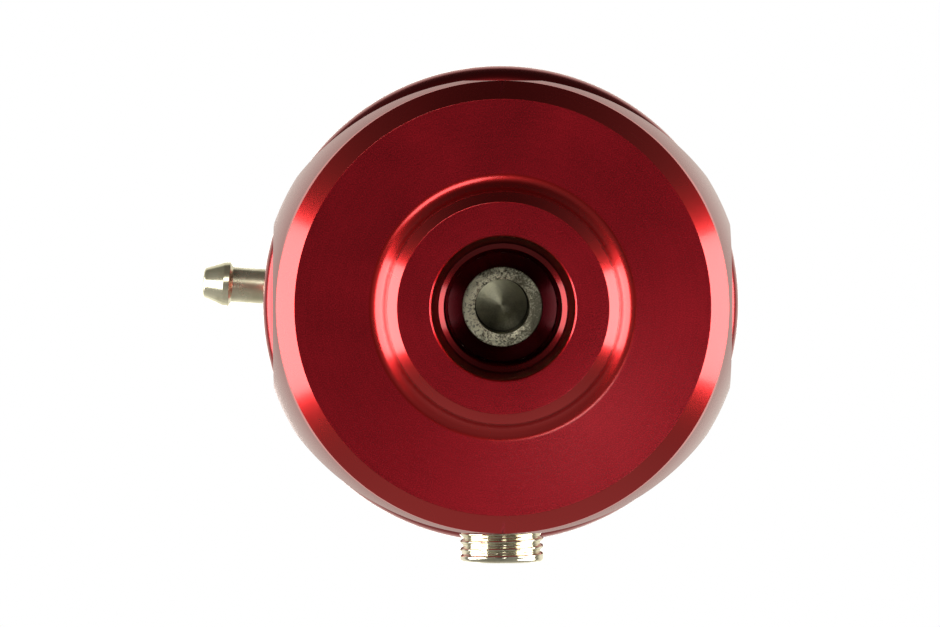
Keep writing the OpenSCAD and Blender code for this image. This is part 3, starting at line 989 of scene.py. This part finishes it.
    def cutters(self) -> list[Piece]:
        """The side ports' spaces: two inlets with their passage, the gauge port and the bracket hole.

        Returns:
            The cutters.
        """
        left = along(-self.flat_x, 0, self.inlet_z, (1, 0, 0))
        right = along(self.flat_x, 0, self.inlet_z, (-1, 0, 0))
        gauge = along(0, -self.pad_y, self.inlet_z, (0, 1, 0))
        reach = self.flat_x - self.inlet_depth + SPARE
        return [self.port.cutter("inlet_right_space", self.inlet_depth, self.inlet_bore_r, right),
                self.port.cutter("inlet_left_space", self.inlet_depth, self.inlet_bore_r, left),
                rod_cutter("inlet_passage", self.inlet_bore_r, -reach, reach, along(0, 0, self.inlet_z, (1, 0, 0))),
                rod_cutter("gauge_space", self.gauge_r + self.taper * SPARE, -SPARE, self.gauge_depth, gauge,
                           -self.taper * (self.gauge_depth + SPARE)),
                rod_cutter("gauge_passage", self.gauge_bore_r, SPARE, self.pad_y - self.chamber_r + SPARE, gauge),
                rod_cutter("bracket_space", self.bracket_r, -SPARE, self.bracket_depth,
                           along(0, self.pad_y, self.inlet_z, (0, -1, 0)))]

    def build(self, wardrobe: Wardrobe) -> None:
        """Builds and dresses the body.

        Args:
            wardrobe: makes the finishes.
        """
        angle = columns(360, self.corners())
        skin, polish = self.rows(angle)
        made = Piece("body_skin", revolve(skin, angle), True, polish).build(self.cutters())
        wardrobe.seat(made, ANODISED, Body.HOUSING, "anodised_body", "lower_body")


@dataclass
class UpperCap:
    """The spring housing: a flange with sunk screws, a tower with a rounded shoulder and the adjusting screw's neck."""

    body_r: float = 29.2
    foot_z: float = 30.0
    flange_t: float = 7.5
    round_r: float = 2.6
    chamfer: float = 0.7
    tower_foot_r: float = 19.6
    tower_top_r: float = 18.4
    shoulder_r: float = 5.0
    roof_z: float = 61.3
    roof_t: float = 3.6
    neck_r: float = 10.0
    neck_h: float = 4.0
    spring_space_r: float = 14.6
    free_r: float = 17.5
    over_h: float = 5.0
    skin_r: float = 21.4
    skin_t: float = 1.0
    bore_r: float = 5.05
    ring_r: float = 0.6
    screw_count: int = 8
    screw_circle_r: float = 24.0
    screw_hole_r: float = 2.15
    recess_r: float = 4.0
    recess_h: float = 5.0
    barb_deg: float = 3.8
    barb_z: float = 44.5
    barb_seat_x: float = 18.2
    barb_spot_r: float = 5.2
    barb_thread_r: float = 3.0
    barb_reach: float = 30.0
    foot_margin: float = 0.3
    lead: float = 0.4

    def profile(self) -> tuple[Array, Array]:
        """The cap's closed section, from the joint round the outside and back down the inside.

        Returns:
            Radius and height of each row, and its polish.
        """
        top, roof = self.foot_z + self.flange_t, self.roof_z + self.roof_t
        neck = roof + self.neck_h
        groove_z, groove = self.roof_z + self.roof_t / 2, 1.2 * self.ring_r
        foot = self.foot_z + self.round_r
        outside = rounded([(self.skin_r, self.foot_z, 0), (self.body_r, self.foot_z, self.round_r),
                           (self.body_r, foot + self.foot_margin, 0), (self.body_r, top - self.chamfer, Edge.SOFT),
                           (self.body_r - self.chamfer, top, Edge.SOFT), (self.tower_foot_r, top, Edge.HAIR),
                           (self.tower_top_r, roof, self.shoulder_r), (self.neck_r, roof, Edge.SOFT),
                           (self.neck_r, neck - self.chamfer, Edge.BROKEN),
                           (self.neck_r - self.chamfer, neck, Edge.BROKEN), (self.bore_r + self.lead, neck, 0.0)], 16)
        groove_r, over = self.bore_r + 2 * self.ring_r, self.foot_z + self.over_h
        inside = np.array([[self.bore_r, neck - self.lead], [self.bore_r, groove_z + groove],
                           [groove_r, groove_z + groove], [groove_r, groove_z - groove],
                           [self.bore_r, groove_z - groove], [self.bore_r, self.roof_z],
                           [self.spring_space_r, self.roof_z], [self.spring_space_r, over], [self.free_r, over],
                           [self.free_r, self.foot_z + self.skin_t], [self.skin_r, self.foot_z + self.skin_t]])
        rows = np.concatenate([outside, inside])
        polish = Polish.CAP.rows(len(rows))
        # Painted shade on the cap's foot, at the joint with the body.
        polish[:len(outside)][outside[:, 1] < foot + 0.1] = Polish.CAP_FOOT.value
        polish[np.abs(rows[:, 1] - top) < TINY] = Polish.FLANGE.value
        polish[(rows[:, 1] > top + 0.2) & (rows[:, 1] < roof - self.shoulder_r)] = Polish.TOWER.value
        return rows, polish

    def screw_places(self) -> list[Matrix]:
        """The cap screws' places, spread evenly round their circle."""
        return [Matrix.Rotation(TURN * (i + 0.5) / self.screw_count, 4, "Z")
                @ Matrix.Translation((self.screw_circle_r, 0, 0)) for i in range(self.screw_count)]

    def barb_place(self) -> Matrix:
        """Where the nipple's axis starts, with +Z along it."""
        turn = radians(self.barb_deg)
        return along(0, 0, self.barb_z, (cos(turn), sin(turn), 0))

    def cutters(self) -> list[Piece]:
        """The sunk screws' spaces and the nipple's spot face and hole.

        Returns:
            The cutters.
        """
        top, same, spots = self.foot_z + self.flange_t, Matrix.Identity(4), self.screw_places()
        barb, sunk = self.barb_place(), top - self.recess_h
        return [rod_cutter("screw_recess", self.recess_r, sunk, top + SPARE, same, count=72, copies=spots),
                rod_cutter("screw_hole", self.screw_hole_r, self.foot_z - SPARE, sunk + SPARE, same, count=48,
                           copies=spots),
                rod_cutter("barb_spot", self.barb_spot_r, self.barb_seat_x, self.barb_reach, barb),
                rod_cutter("barb_hole", self.barb_thread_r, self.spring_space_r - 2 * SPARE, self.barb_seat_x + SPARE,
                           barb)]

    def build(self, wardrobe: Wardrobe) -> None:
        """Builds and dresses the cap.

        Args:
            wardrobe: makes the finishes.
        """
        rows, polish = self.profile()
        angle = columns(288)
        made = Piece("cap_skin", revolve(rows, angle), True, polish).build(self.cutters())
        wardrobe.seat(made, ANODISED, Body.HOUSING, "anodised_cap", "upper_cap")


@dataclass
class Valve:
    """The seat sleeve and the turned valve that closes on it."""

    foot_z: float = 11.0
    web_z: float = 14.5
    seat_h: float = 8.5
    seat_r: float = 4.85
    bore_r: float = 3.28
    bevel: float = 0.6
    bevel_h: float = 0.09
    flange_r: float = 8.0
    flange_t: float = 2.6
    ring_r: float = 0.8
    rim_r: float = 4.1
    disc_r: float = 4.9
    disc_t: float = 2.0
    collar_r: float = 3.9
    plate_z: float = 28.2
    stem_r: float = 2.5
    stem_top_z: float = 38.2
    sleeve_h: float = 3.0
    rim_h: float = 1.0
    pip_r: float = 0.25
    pip_h: float = 0.04

    def build(self, wardrobe: Wardrobe) -> None:
        """Builds and dresses the seat and the valve.

        Args:
            wardrobe: makes the finishes.
        """
        top = self.web_z + self.seat_h
        middle, groove = (self.seat_r + self.flange_r) / 2, 1.1 * self.ring_r
        grip = self.web_z + self.flange_t
        seat = rounded([(self.bore_r, self.foot_z + self.sleeve_h, 0),
                        (self.bore_r, self.foot_z + self.bevel_h, Edge.CRISP),
                        (self.bore_r + self.bevel, self.foot_z, Edge.BROKEN), (self.seat_r, self.foot_z, Edge.SOFT),
                        (self.seat_r, self.web_z, 0), (middle - groove, self.web_z, 0),
                        (middle - groove, self.web_z + 2 * self.ring_r, 0),
                        (middle + groove, self.web_z + 2 * self.ring_r, 0), (middle + groove, self.web_z, 0),
                        (self.flange_r, self.web_z, 0), (self.flange_r, grip, Edge.EASED),
                        (self.seat_r, grip, Edge.HAIR), (self.seat_r, top - self.rim_h, 0),
                        (self.rim_r, top, 0), (self.bore_r, top, 0)])
        made = Piece("seat_sleeve", revolve(seat, columns(160)), True).build()
        wardrobe.seat(made, SEAT_STEEL, Body.HOUSING, "seat_steel", "return_seat")
        stem = rounded([(0, top, 0), (self.pip_r, top + self.pip_h, 0), (self.disc_r, top, Edge.ROUND),
                        (self.disc_r, top + self.disc_t, Edge.EASED), (self.collar_r, top + self.disc_t, Edge.SOFT),
                        (self.collar_r, self.plate_z, 0), (self.stem_r, self.plate_z, 0),
                        (self.stem_r, self.stem_top_z, Edge.BOLD), (0, self.stem_top_z, 0)])
        made = Piece("valve_stem", revolve(stem, columns(128))).build()
        wardrobe.seat(made, VALVE_STEEL, Body.VALVE, "valve_steel", "valve_poppet")


@dataclass
class Adjuster:
    """The adjusting screw, its lock nut and the seal under the nut."""

    screw_r: float = 5.0
    length: float = 23.0
    pitch: float = 1.0
    thread_h: float = 0.55
    socket_af: float = 5.0
    socket_h: float = 6.0
    tip_z: float = 61.349
    drill_r: float = 2.65
    drill_h: float = 1.592
    neck_z: float = 68.9
    seal_r: float = 8.4
    seal_t: float = 1.5
    bore_r: float = 5.05
    nut_af: float = 17.0
    nut_h: float = 5.0
    nut_chamfer_deg: float = 30.0
    nut_thread_h: float = 0.5
    face_inset: float = 0.25
    lead: float = 0.35
    socket_lead: float = 0.3
    socket_point: float = 1.0
    end_chamfer: float = 0.7
    runout: float = 0.8
    per_pitch: int = 10
    nut_rows: int = 50

    def screw(self) -> Piece:
        """The screw: rows up a threaded wall whose radius is the screw's less the helix's depth, and a hexagon socket.

        Returns:
            The piece.
        """
        angle = columns(96, HEX_CORNERS)
        height = np.linspace(0, self.length, int(self.length / self.pitch * self.per_pitch))[:, None]
        inset = np.minimum(height, self.length - height)
        fade = np.clip(inset / self.runout, 0, 1)
        wall = self.screw_r - self.thread_h * helix(angle[None, :], height, self.pitch) * fade
        wall = np.minimum(wall, self.screw_r - self.end_chamfer + inset)
        side, floor = hexagon(angle, self.socket_af), self.length - self.socket_h
        rows = np.concatenate([stacked(angle, (0, self.drill_h), (self.drill_r, 0)),
                               walled(wall, height),
                               stacked(angle, (side + self.socket_lead, self.length), (side, self.length - self.lead),
                                       (side, floor), (0, floor - self.socket_point))])
        rows[..., 1] += self.tip_z
        return Piece("adjuster_thread", revolve(rows, angle))

    def nut(self) -> Piece:
        """The nut: a hexagon whose ends are cut by cones, so that each cone's last row follows its crease.

        A cone that starts at the width across the flats drops by the tangent of its angle times the radius beyond it.

        Returns:
            The piece.
        """
        angle = columns(180, HEX_CORNERS)
        side = hexagon(angle, self.nut_af)
        drop = (side - self.nut_af / 2 + self.face_inset) * tan(radians(self.nut_chamfer_deg))
        low, high = self.neck_z + self.seal_t, self.neck_z + self.seal_t + self.nut_h
        face, bore = self.nut_af / 2 - self.face_inset, self.bore_r + self.lead
        outside = stacked(angle, (bore, low), (face, low), (side, low + drop), (side, high - drop), (face, high),
                          (bore, high))
        height = np.linspace(high - self.lead, low + self.lead, self.nut_rows)[:, None]
        wall = self.bore_r + self.nut_thread_h * (1 - helix(angle[None, :], height, self.pitch))
        inside = walled(wall, height)
        return Piece("nut_hexagon", revolve(np.concatenate([outside, inside]), angle), True)

    def seal(self) -> Piece:
        """The seal: a rubber lip and a flat ring, as one closed section.

        Returns:
            The piece.
        """
        low, high = self.neck_z, self.neck_z + self.seal_t
        rows = rounded([(self.bore_r, low + 0.5, 0), (self.bore_r, low, Edge.LIP), (self.seal_r, low, Edge.ROUND),
                        (self.seal_r, high, Edge.ROUND), (self.bore_r, high, Edge.LIP), (self.bore_r, low + 0.7, 0)])
        return Piece("nut_seal_ring", revolve(rows, columns(128)), True)

    def build(self, wardrobe: Wardrobe) -> None:
        """Builds and dresses the screw, the nut and the seal.

        Args:
            wardrobe: makes the finishes.
        """
        wardrobe.seat(self.screw().build(), BLACKED, Body.ADJUSTER, "screw", "adjusting_screw")
        wardrobe.seat(self.nut().build(), ZINC, Body.NUT, "steel", "lock_nut")
        wardrobe.seat(self.seal().build(), SEAL_RUBBER, Body.NUT_SEAL, "rubber", "seal_washer")


@dataclass
class Fittings:
    """The cap screws, the nipple and the gauge plug."""

    cap: UpperCap
    head_z: float = 33.4
    screw_r: float = 2.0
    screw_len: float = 10.0
    head_r: float = 3.5
    head_h: float = 4.0
    socket_af: float = 3.0
    socket_h: float = 2.0
    barb_af: float = 8.0
    barb_hex_h: float = 4.5
    tube_r: float = 2.17
    barb_r: float = 2.77
    tip_r: float = 1.75
    barb_len: float = 3.25
    barb_land: float = 0.75
    barb_land_drop: float = 0.09
    tip_x: float = 36.9
    barb_bore_r: float = 1.2
    pad_y: float = 27.05
    plug_end_y: float = 31.0
    plug_z: float = 19.0
    plug_r: float = 5.05
    plug_depth: float = 7.6
    plug_pitch: float = 0.941
    plug_thread_h: float = 0.36
    plug_round: float = 0.6
    plug_af: float = 4.76
    plug_socket_h: float = 4.5
    taper: float = 0.03125
    rim_r: float = 2.1
    knurl: float = 0.05
    knurls: int = 36
    lead: float = 0.15
    socket_point: float = 0.5
    hex_deg: float = 30.0
    hex_shoulder: float = 0.3
    foot_gap: float = 0.3
    tube_round: float = 0.5
    barb_back: float = 0.35
    tip_round: float = 0.45
    gloss_lead: float = 0.6
    gloss_fade: float = 0.3
    plug_lead: float = 0.25
    plug_point: float = 1.0
    plug_start: float = 0.35
    plug_runout: float = 0.9
    plug_per_pitch: int = 14

    def screws(self) -> Piece:
        """The cap screws: a turned shank and a knurled head with a hexagon socket.

        The knurl lowers the head's radius by a small cosine of 36 times the angle.

        Returns:
            The piece, with its copies.
        """
        angle = columns(72, HEX_CORNERS)
        shank = rounded([(0, -self.screw_len, 0), (self.screw_r, -self.screw_len, Edge.BOLD), (self.screw_r, 0, 0),
                         (self.head_r, 0, Edge.HAIR), (self.head_r, self.head_h, Edge.ROUND),
                         (self.rim_r, self.head_h, 0)], 5)
        rows = spread(shank, angle)
        grip = (shank[:, 0] > self.head_r - 0.01)[:, None]
        rows[..., 0] -= np.where(grip, self.knurl * (1 + np.cos(self.knurls * angle))[None, :], 0)
        side, floor = hexagon(angle, self.socket_af), self.head_h - self.socket_h
        socket = stacked(angle, (side + self.lead, self.head_h), (side, self.head_h - self.lead), (side, floor),
                         (0, floor - self.socket_point))
        rows = np.concatenate([rows, socket])
        rows[..., 1] += self.head_z
        return Piece("cap_screw_set", revolve(rows, angle), copies=self.cap.screw_places())

    def nipple(self) -> Piece:
        """The nipple: a hexagon, a tube, and a barb with a short land; the hexagon's rows widen to its sides.

        Returns:
            The piece.
        """
        angle = columns(120, HEX_CORNERS)
        low, high = self.cap.barb_seat_x, self.cap.barb_seat_x + self.barb_hex_h
        start, back = self.cap.spring_space_r + self.foot_gap, self.tip_x - self.barb_len
        side, face = hexagon(angle, self.barb_af), self.barb_af / 2 - self.lead
        drop = (side - self.barb_af / 2 + self.lead) * tan(radians(self.hex_deg))
        root = stacked(angle, (self.barb_bore_r, start + 1), (self.barb_bore_r, start),
                       (self.cap.barb_thread_r, start), (self.cap.barb_thread_r, low), (face, low), (side, low + drop),
                       (side, high - drop), (face, high))
        tail = rounded([(self.barb_af / 2 - self.hex_shoulder, high, 0), (self.tube_r, high, self.tube_round),
                        (self.tube_r, back - self.barb_back, Edge.BROKEN), (self.barb_r, back, Edge.BROKEN),
                        (self.barb_r - self.barb_land_drop, back + self.barb_land, Edge.ROUND),
                        (self.tip_r, self.tip_x, self.tip_round), (self.barb_bore_r, self.tip_x, 0)], 9)
        rows = np.concatenate([root, spread(tail, angle)])
        polish = np.clip((rows[:, 0, 1] - back + self.gloss_lead) / self.gloss_fade, 0.0, 1.0)
        return Piece("nipple_barb", revolve(rows, angle), True, polish, turned=self.cap.barb_place())

    def plug(self) -> Piece:
        """The gauge plug: a tapered thread from its round end to its foot, and a hexagon socket.

        The radius falls by the taper for each millimetre towards the foot, less the rolled thread's depth, and by the
        gap between a quarter circle and its tangent at the end.

        Returns:
            The piece.
        """
        angle = columns(132, HEX_CORNERS)
        stand = self.plug_end_y - self.pad_y
        total = stand + self.plug_depth
        height = np.linspace(0, total, int(total / self.plug_pitch * self.plug_per_pitch))[:, None]
        cone = self.plug_r + self.taper * (stand - np.maximum(height, self.plug_round))
        fade = np.clip((height - self.plug_start) / self.plug_runout, 0, 1)
        wall = cone - self.plug_thread_h * rolled(angle[None, :], height, self.plug_pitch) * fade
        bend = np.clip(1 - height / self.plug_round, 0, 1)
        wall = wall - self.plug_round * (1 - np.sqrt(np.maximum(1 - bend**2, 0)))
        side, deep = hexagon(angle, self.plug_af), self.plug_socket_h
        rows = np.concatenate([stacked(angle, (0, deep + self.plug_point), (side, deep), (side, self.plug_lead),
                                       (side + self.plug_lead, 0)),
                               walled(wall, height), stacked(angle, (0, total))])
        return Piece("plug_thread", revolve(rows, angle), turned=along(0, -self.plug_end_y, self.plug_z, (0, 1, 0)))

    def build(self, wardrobe: Wardrobe) -> None:
        """Builds and dresses the screws, the nipple and the plug.

        Args:
            wardrobe: makes the finishes.
        """
        wardrobe.seat(self.screws().build(), BLACKED, Body.HOUSING, "screw", "cap_screws")
        wardrobe.seat(self.nipple().build(), SATIN_NICKEL, Body.HOUSING, "nickel", "vacuum_barb")
        wardrobe.seat(self.plug().build(), NICKEL, Body.HOUSING, "nickel", "gauge_plug")


@dataclass
class Spring:
    """The main spring, with closed ends."""

    wire_r: float = 1.5
    coil_r: float = 11.0
    foot_z: float = 33.0
    height: float = 22.0
    turns: float = 5.5
    split: float = 2.0
    closed: float = 0.9
    closed_gap: float = 0.04
    per_turn: int = 64
    wire_sides: int = 20

    def build(self, wardrobe: Wardrobe) -> None:
        """Carries the wire's circle along a helix that rises slowly at both ends.

        The coils are in two stretches that meet on the housing.

        Args:
            wardrobe: makes the finishes.
        """
        t = np.linspace(0, self.turns, int(self.turns * self.per_turn) + 1)
        slow = self.closed * (2 * self.wire_r + self.closed_gap)
        free = self.height - 2 * self.wire_r
        rise = np.interp(t, [0, self.closed, self.turns - self.closed, self.turns], [0, slow, free - slow, free])
        a, b = (TURN * t)[:, None], (TURN * np.arange(self.wire_sides) / self.wire_sides)[None, :]
        radius = self.coil_r + self.wire_r * np.cos(b)
        level = self.foot_z + self.wire_r + rise[:, None] + self.wire_r * np.sin(b)
        wire = np.stack([radius * np.cos(a), radius * np.sin(a), level], -1)
        cut = int(self.split * self.per_turn)
        low = self.coils("spring_foot_coils", wire[:cut + 1], wardrobe)
        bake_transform(low)
        high = self.coils("spring_upper_coils", wire[cut:], wardrobe)
        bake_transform(high)

    def coils(self, name: str, wire: Array, wardrobe: Wardrobe) -> bpy.types.Object:
        """Closes a stretch of wire with flat ends and dresses it.

        Args:
            name: the stretch's name.
            wire: its points by section and place in the section.
            wardrobe: makes the finishes.

        Returns:
            The piece.
        """
        ends = [np.repeat(wire[i].mean(0)[None, None, :], wire.shape[1], 1) for i in (0, -1)]
        made = Piece(name, np.concatenate([ends[0], wire, ends[1]])).build()
        return wardrobe.seat(made, SPRING_WIRE, None, "spring", "main_spring")


@dataclass
class Rubbers:
    """The diaphragm, in gores that reach from the valve to the housing, and the two O-rings."""

    stem_r: float = 2.5
    clamp_r: float = 14.0
    free_r: float = 17.5
    skin_r: float = 21.4
    skin_z: float = 30.0
    skin_t: float = 1.0
    fold_h: float = 0.45
    gores: int = 12
    gore_steps: int = 10
    row_counts: tuple[int, int, int] = (12, 25, 6)
    ring_sides: int = 32
    squeeze: float = 1.06
    seat_ring: tuple[float, float, float] = (6.425, 15.3, 0.8)
    screw_ring: tuple[float, float, float] = (5.65, 63.1, 0.6)

    def gore(self, number: int) -> Piece:
        """One gore of the skin: its section carried through its share of a turn, closed along the section's middle.

        The skin is flat but for a low fold in its free part, whose height is a raised cosine of the radius.

        Args:
            number: the gore's place round the axis.

        Returns:
            The piece.
        """
        ends = (self.stem_r, self.clamp_r, self.free_r, self.skin_r)
        hub, fold, rim = (np.linspace(*pair) for pair in zip(ends[:-1], ends[1:], self.row_counts))
        radius = np.concatenate([hub, fold[1:], rim[1:]])
        part = np.clip((radius - self.clamp_r) / (self.free_r - self.clamp_r), 0, 1)
        low = self.skin_z + self.fold_h * (1 - np.cos(TURN * part)) / 2
        loop = np.stack([np.concatenate([radius, radius[::-1]]), np.concatenate([low, low[::-1] + self.skin_t])], 1)
        middle = np.stack([loop[:, 0], np.concatenate([low, low[::-1]]) + self.skin_t / 2], 1)
        angle = TURN / self.gores * (number - 0.5 + np.linspace(0, 1, self.gore_steps + 1))
        section = np.concatenate([[middle], np.repeat(loop[None], len(angle), 0), [middle]])
        angle = np.concatenate([angle[:1], angle, angle[-1:]])[:, None]
        points = np.stack([section[..., 0] * np.cos(angle), section[..., 0] * np.sin(angle), section[..., 1]], -1)
        return Piece(f"diaphragm_gore_{number + 1}", points)

    def ring(self, name: str, size: tuple[float, float, float]) -> Piece:
        """An O-ring: a circle carried round the axis, a little flattened where its groove grips it.

        Args:
            name: the ring's name.
            size: radius of its circle, height of its middle and radius of its cord.

        Returns:
            The piece.
        """
        ring_r, ring_z, cord_r = size
        b = np.linspace(0, TURN, self.ring_sides + 1)[:-1]
        rows = np.stack([ring_r + cord_r * np.clip(self.squeeze * np.cos(b), -1, 1), ring_z + cord_r * np.sin(b)], 1)
        return Piece(name, revolve(rows, columns(128)), True)

    def build(self, wardrobe: Wardrobe) -> None:
        """Builds and dresses the gores and the rings.

        Neighbouring gores match where they meet, because their edges lie at the same angle from their middles.

        Args:
            wardrobe: makes the finishes.
        """
        for number in range(self.gores):
            made = wardrobe.seat(self.gore(number).build(), SKIN_RUBBER, None, "rubber", "diaphragm")
            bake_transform(made)
        for name, size, node in (("seat_ring", self.seat_ring, "seat_o_ring"),
                                 ("screw_ring", self.screw_ring, "adjuster_o_ring")):
            wardrobe.seat(self.ring(name, size).build(), SEAL_RUBBER, Body.HOUSING, "rubber", node)


@dataclass
class Inside:
    """CAD nodes that keep their shape and only get a finish."""

    finishes: tuple[tuple[str, Finish], ...] = (
        ("lower_plate", TURNED_ALLOY), ("spring_cup", TURNED_ALLOY), ("poppet_lock_washer", ZINC),
        ("poppet_nut", ZINC), ("top_spring_seat", TURNED_ALLOY), ("thrust_ball", BALL_STEEL),
        ("cap_screw_washers", BLACKED))

    def build(self, wardrobe: Wardrobe) -> None:
        """Dresses each node.

        Args:
            wardrobe: makes the finishes.
        """
        for node, finish in self.finishes:
            wardrobe.dress(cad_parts[node], finish)
            log.info("%s keeps its CAD shape", node)


@dataclass(frozen=True)
class Lamp:
    """A soft rectangular lamp that the camera doesn't see, in metres; a face level of 1 is white."""

    name: str
    place: Place
    size: tuple[float, float]
    level: float
    target: Place = (0, 0, 0.02)
    colour: Colour = (1.0, 0.97, 0.93)

    def build(self) -> None:
        """Adds the lamp; its power is pi times its level and its area."""
        data = bpy.data.lights.new(self.name, "AREA")
        data.shape, data.color = "RECTANGLE", self.colour
        data.size, data.size_y = self.size
        data.energy = pi * self.level * self.size[0] * self.size[1]
        made = bpy.data.objects.new(self.name, data)
        way = Vector(self.target) - Vector(self.place)
        made.matrix_world = Matrix.Translation(Vector(self.place)) @ way.to_track_quat("-Z", "Y").to_matrix().to_4x4()
        made.visible_camera = False
        bpy.context.collection.objects.link(made)


@dataclass
class Studio:
    """The floor, the lamps, the world and the camera of the photograph."""

    lens_mm: float = 290.9
    distance_m: float = 0.900
    px_per_frame: float = 940.0
    boss_px: tuple[float, float] = (33.2, 5.3)
    deep_px: tuple[float, float] = (30.6, 9.9)
    deep_m: float = 0.033
    floor_half: float = 6.0
    floor_z: float = -0.0002
    floor_grey: float = 0.80
    room: Colour = (1.0, 0.965, 0.87)
    room_level: float = 0.04
    front_level: float = 0.25
    front_rise: float = 0.3
    side_level: float = 0.17
    ring_level: float = 0.12
    backdrop_level: float = 0.6
    lamps: tuple[Lamp, ...] = (
        Lamp("softbox_right", (-0.70, -0.015, -0.24), (0.50, 0.84), 6.0, (0, -0.015, -0.24)),
        Lamp("softbox_left", (0.70, -0.02, -0.27), (0.60, 0.90), 6.0, (0, -0.02, -0.27)),
        Lamp("key_above", (0.22, 0.43, -0.80), (0.36, 0.28), 3.9),
        Lamp("fill_low", (-0.125, -0.175, -0.89), (0.13, 0.13), 4.3),
        Lamp("top_light", (0.05, -0.05, 1.3), (0.6, 0.6), 3.0))

    def camera(self) -> None:
        """Sets the camera so that the boss's centre and a point up the axis fall on their pixels of the photograph.

        The camera's right is about -X and its up about +Y. The slopes of both along the axis follow from how far the
        deeper point has moved across the frame.
        """
        focal = self.lens_mm / SENSOR_MM * self.px_per_frame
        near = [p / focal * self.distance_m for p in self.boss_px]
        far = [p / focal * (self.distance_m + self.deep_m) for p in self.deep_px]
        right = Vector((-1, 0, (far[0] - near[0]) / self.deep_m)).normalized()
        up = Vector((0, 1, (far[1] - near[1]) / self.deep_m)).normalized()
        ahead = up.cross(right).normalized()
        right = ahead.cross(up).normalized()
        place = -(right * near[0] + up * near[1] + ahead * self.distance_m)
        data = bpy.data.cameras.new("photo_camera")
        data.lens, data.sensor_width, data.clip_end = self.lens_mm, SENSOR_MM, 20.0
        made = bpy.data.objects.new("photo_camera", data)
        turn = Matrix((right, up, -ahead)).transposed()
        made.matrix_world = Matrix.Translation(place) @ turn.to_4x4()
        bpy.context.collection.objects.link(made)
        bpy.context.scene.camera = made

    def floor(self) -> None:
        """Lays a pale floor that only the camera sees, and only from above, so that lamps below reach the boss."""
        mesh = bpy.data.meshes.new("floor")
        half = self.floor_half
        corners = ((-half, -half), (half, -half), (half, half), (-half, half))
        mesh.from_pydata([(*corner, self.floor_z) for corner in corners], [], [(0, 1, 2, 3)])
        made = bpy.data.objects.new("floor", mesh)
        bpy.context.collection.objects.link(made)
        pale = bpy.data.materials.new("pale_floor")
        t = Tree(pale)
        seen = t.node("ShaderNodeLightPath", out="Is Camera Ray")
        back = t.node("ShaderNodeNewGeometry", out="Backfacing")
        shown = seen * (1.0 - back)
        paint = t.principled(Base_Color=(self.floor_grey,) * 3, Roughness=0.9)
        clear = t.node("ShaderNodeBsdfTransparent")
        t.finish(t.node("ShaderNodeMixShader", {}, {0: shown, 1: clear, 2: paint}))
        mesh.materials.append(pale)

    def world(self) -> None:
        """Sets a white backdrop that the camera, metal and glass see, in a room that is dim on the camera's side."""
        made = bpy.data.worlds.new("studio")
        bpy.context.scene.world = made
        t = Tree(made)
        x, y, z = t.axes(t.place("Generated"))
        backdrop = z.step(0.42, 0.72)
        ring = (0.0 - z).step(0.55, 0.80) * (1.0 - (0.0 - z).step(0.90, 0.985))
        front = (0.0 - y).step(0.4, 1.0)
        level = (self.room_level + front * (self.front_level + z.step(-0.1, 0.45) * self.front_rise)
                 + x * x * self.side_level + ring * self.ring_level + backdrop * self.backdrop_level)
        rays = t.node("ShaderNodeLightPath").out.node.outputs
        camera, glossy, through = (Socket(t, rays[f"Is {kind} Ray"]) for kind in ("Camera", "Glossy", "Transmission"))
        seen = camera.most(glossy.most(through) * backdrop)
        strength = seen + (1.0 - seen) * level
        colour = t.blend(camera, self.room, (1.0, 1.0, 1.0))
        t.finish(t.node("ShaderNodeBackground", {}, {"Color": colour, "Strength": strength}),
                 "ShaderNodeOutputWorld")

    def build(self) -> None:
        """Builds the whole studio."""
        self.camera()
        self.floor()
        self.world()
        for lamp in self.lamps:
            lamp.build()
        bpy.context.scene.view_settings.view_transform = "Standard"


def main() -> None:
    """Builds the studio and every piece."""
    logging.basicConfig(level=logging.INFO, format="%(name)s: %(message)s")
    wardrobe = Wardrobe()
    Studio().build()
    cap = UpperCap()
    for part in (LowerBody(), cap, Valve(), Adjuster(), Fittings(cap), Spring(), Rubbers(), Inside()):
        part.build(wardrobe)
        log.info("%s is built", type(part).__name__)


if __name__ == "__main__":
    main()
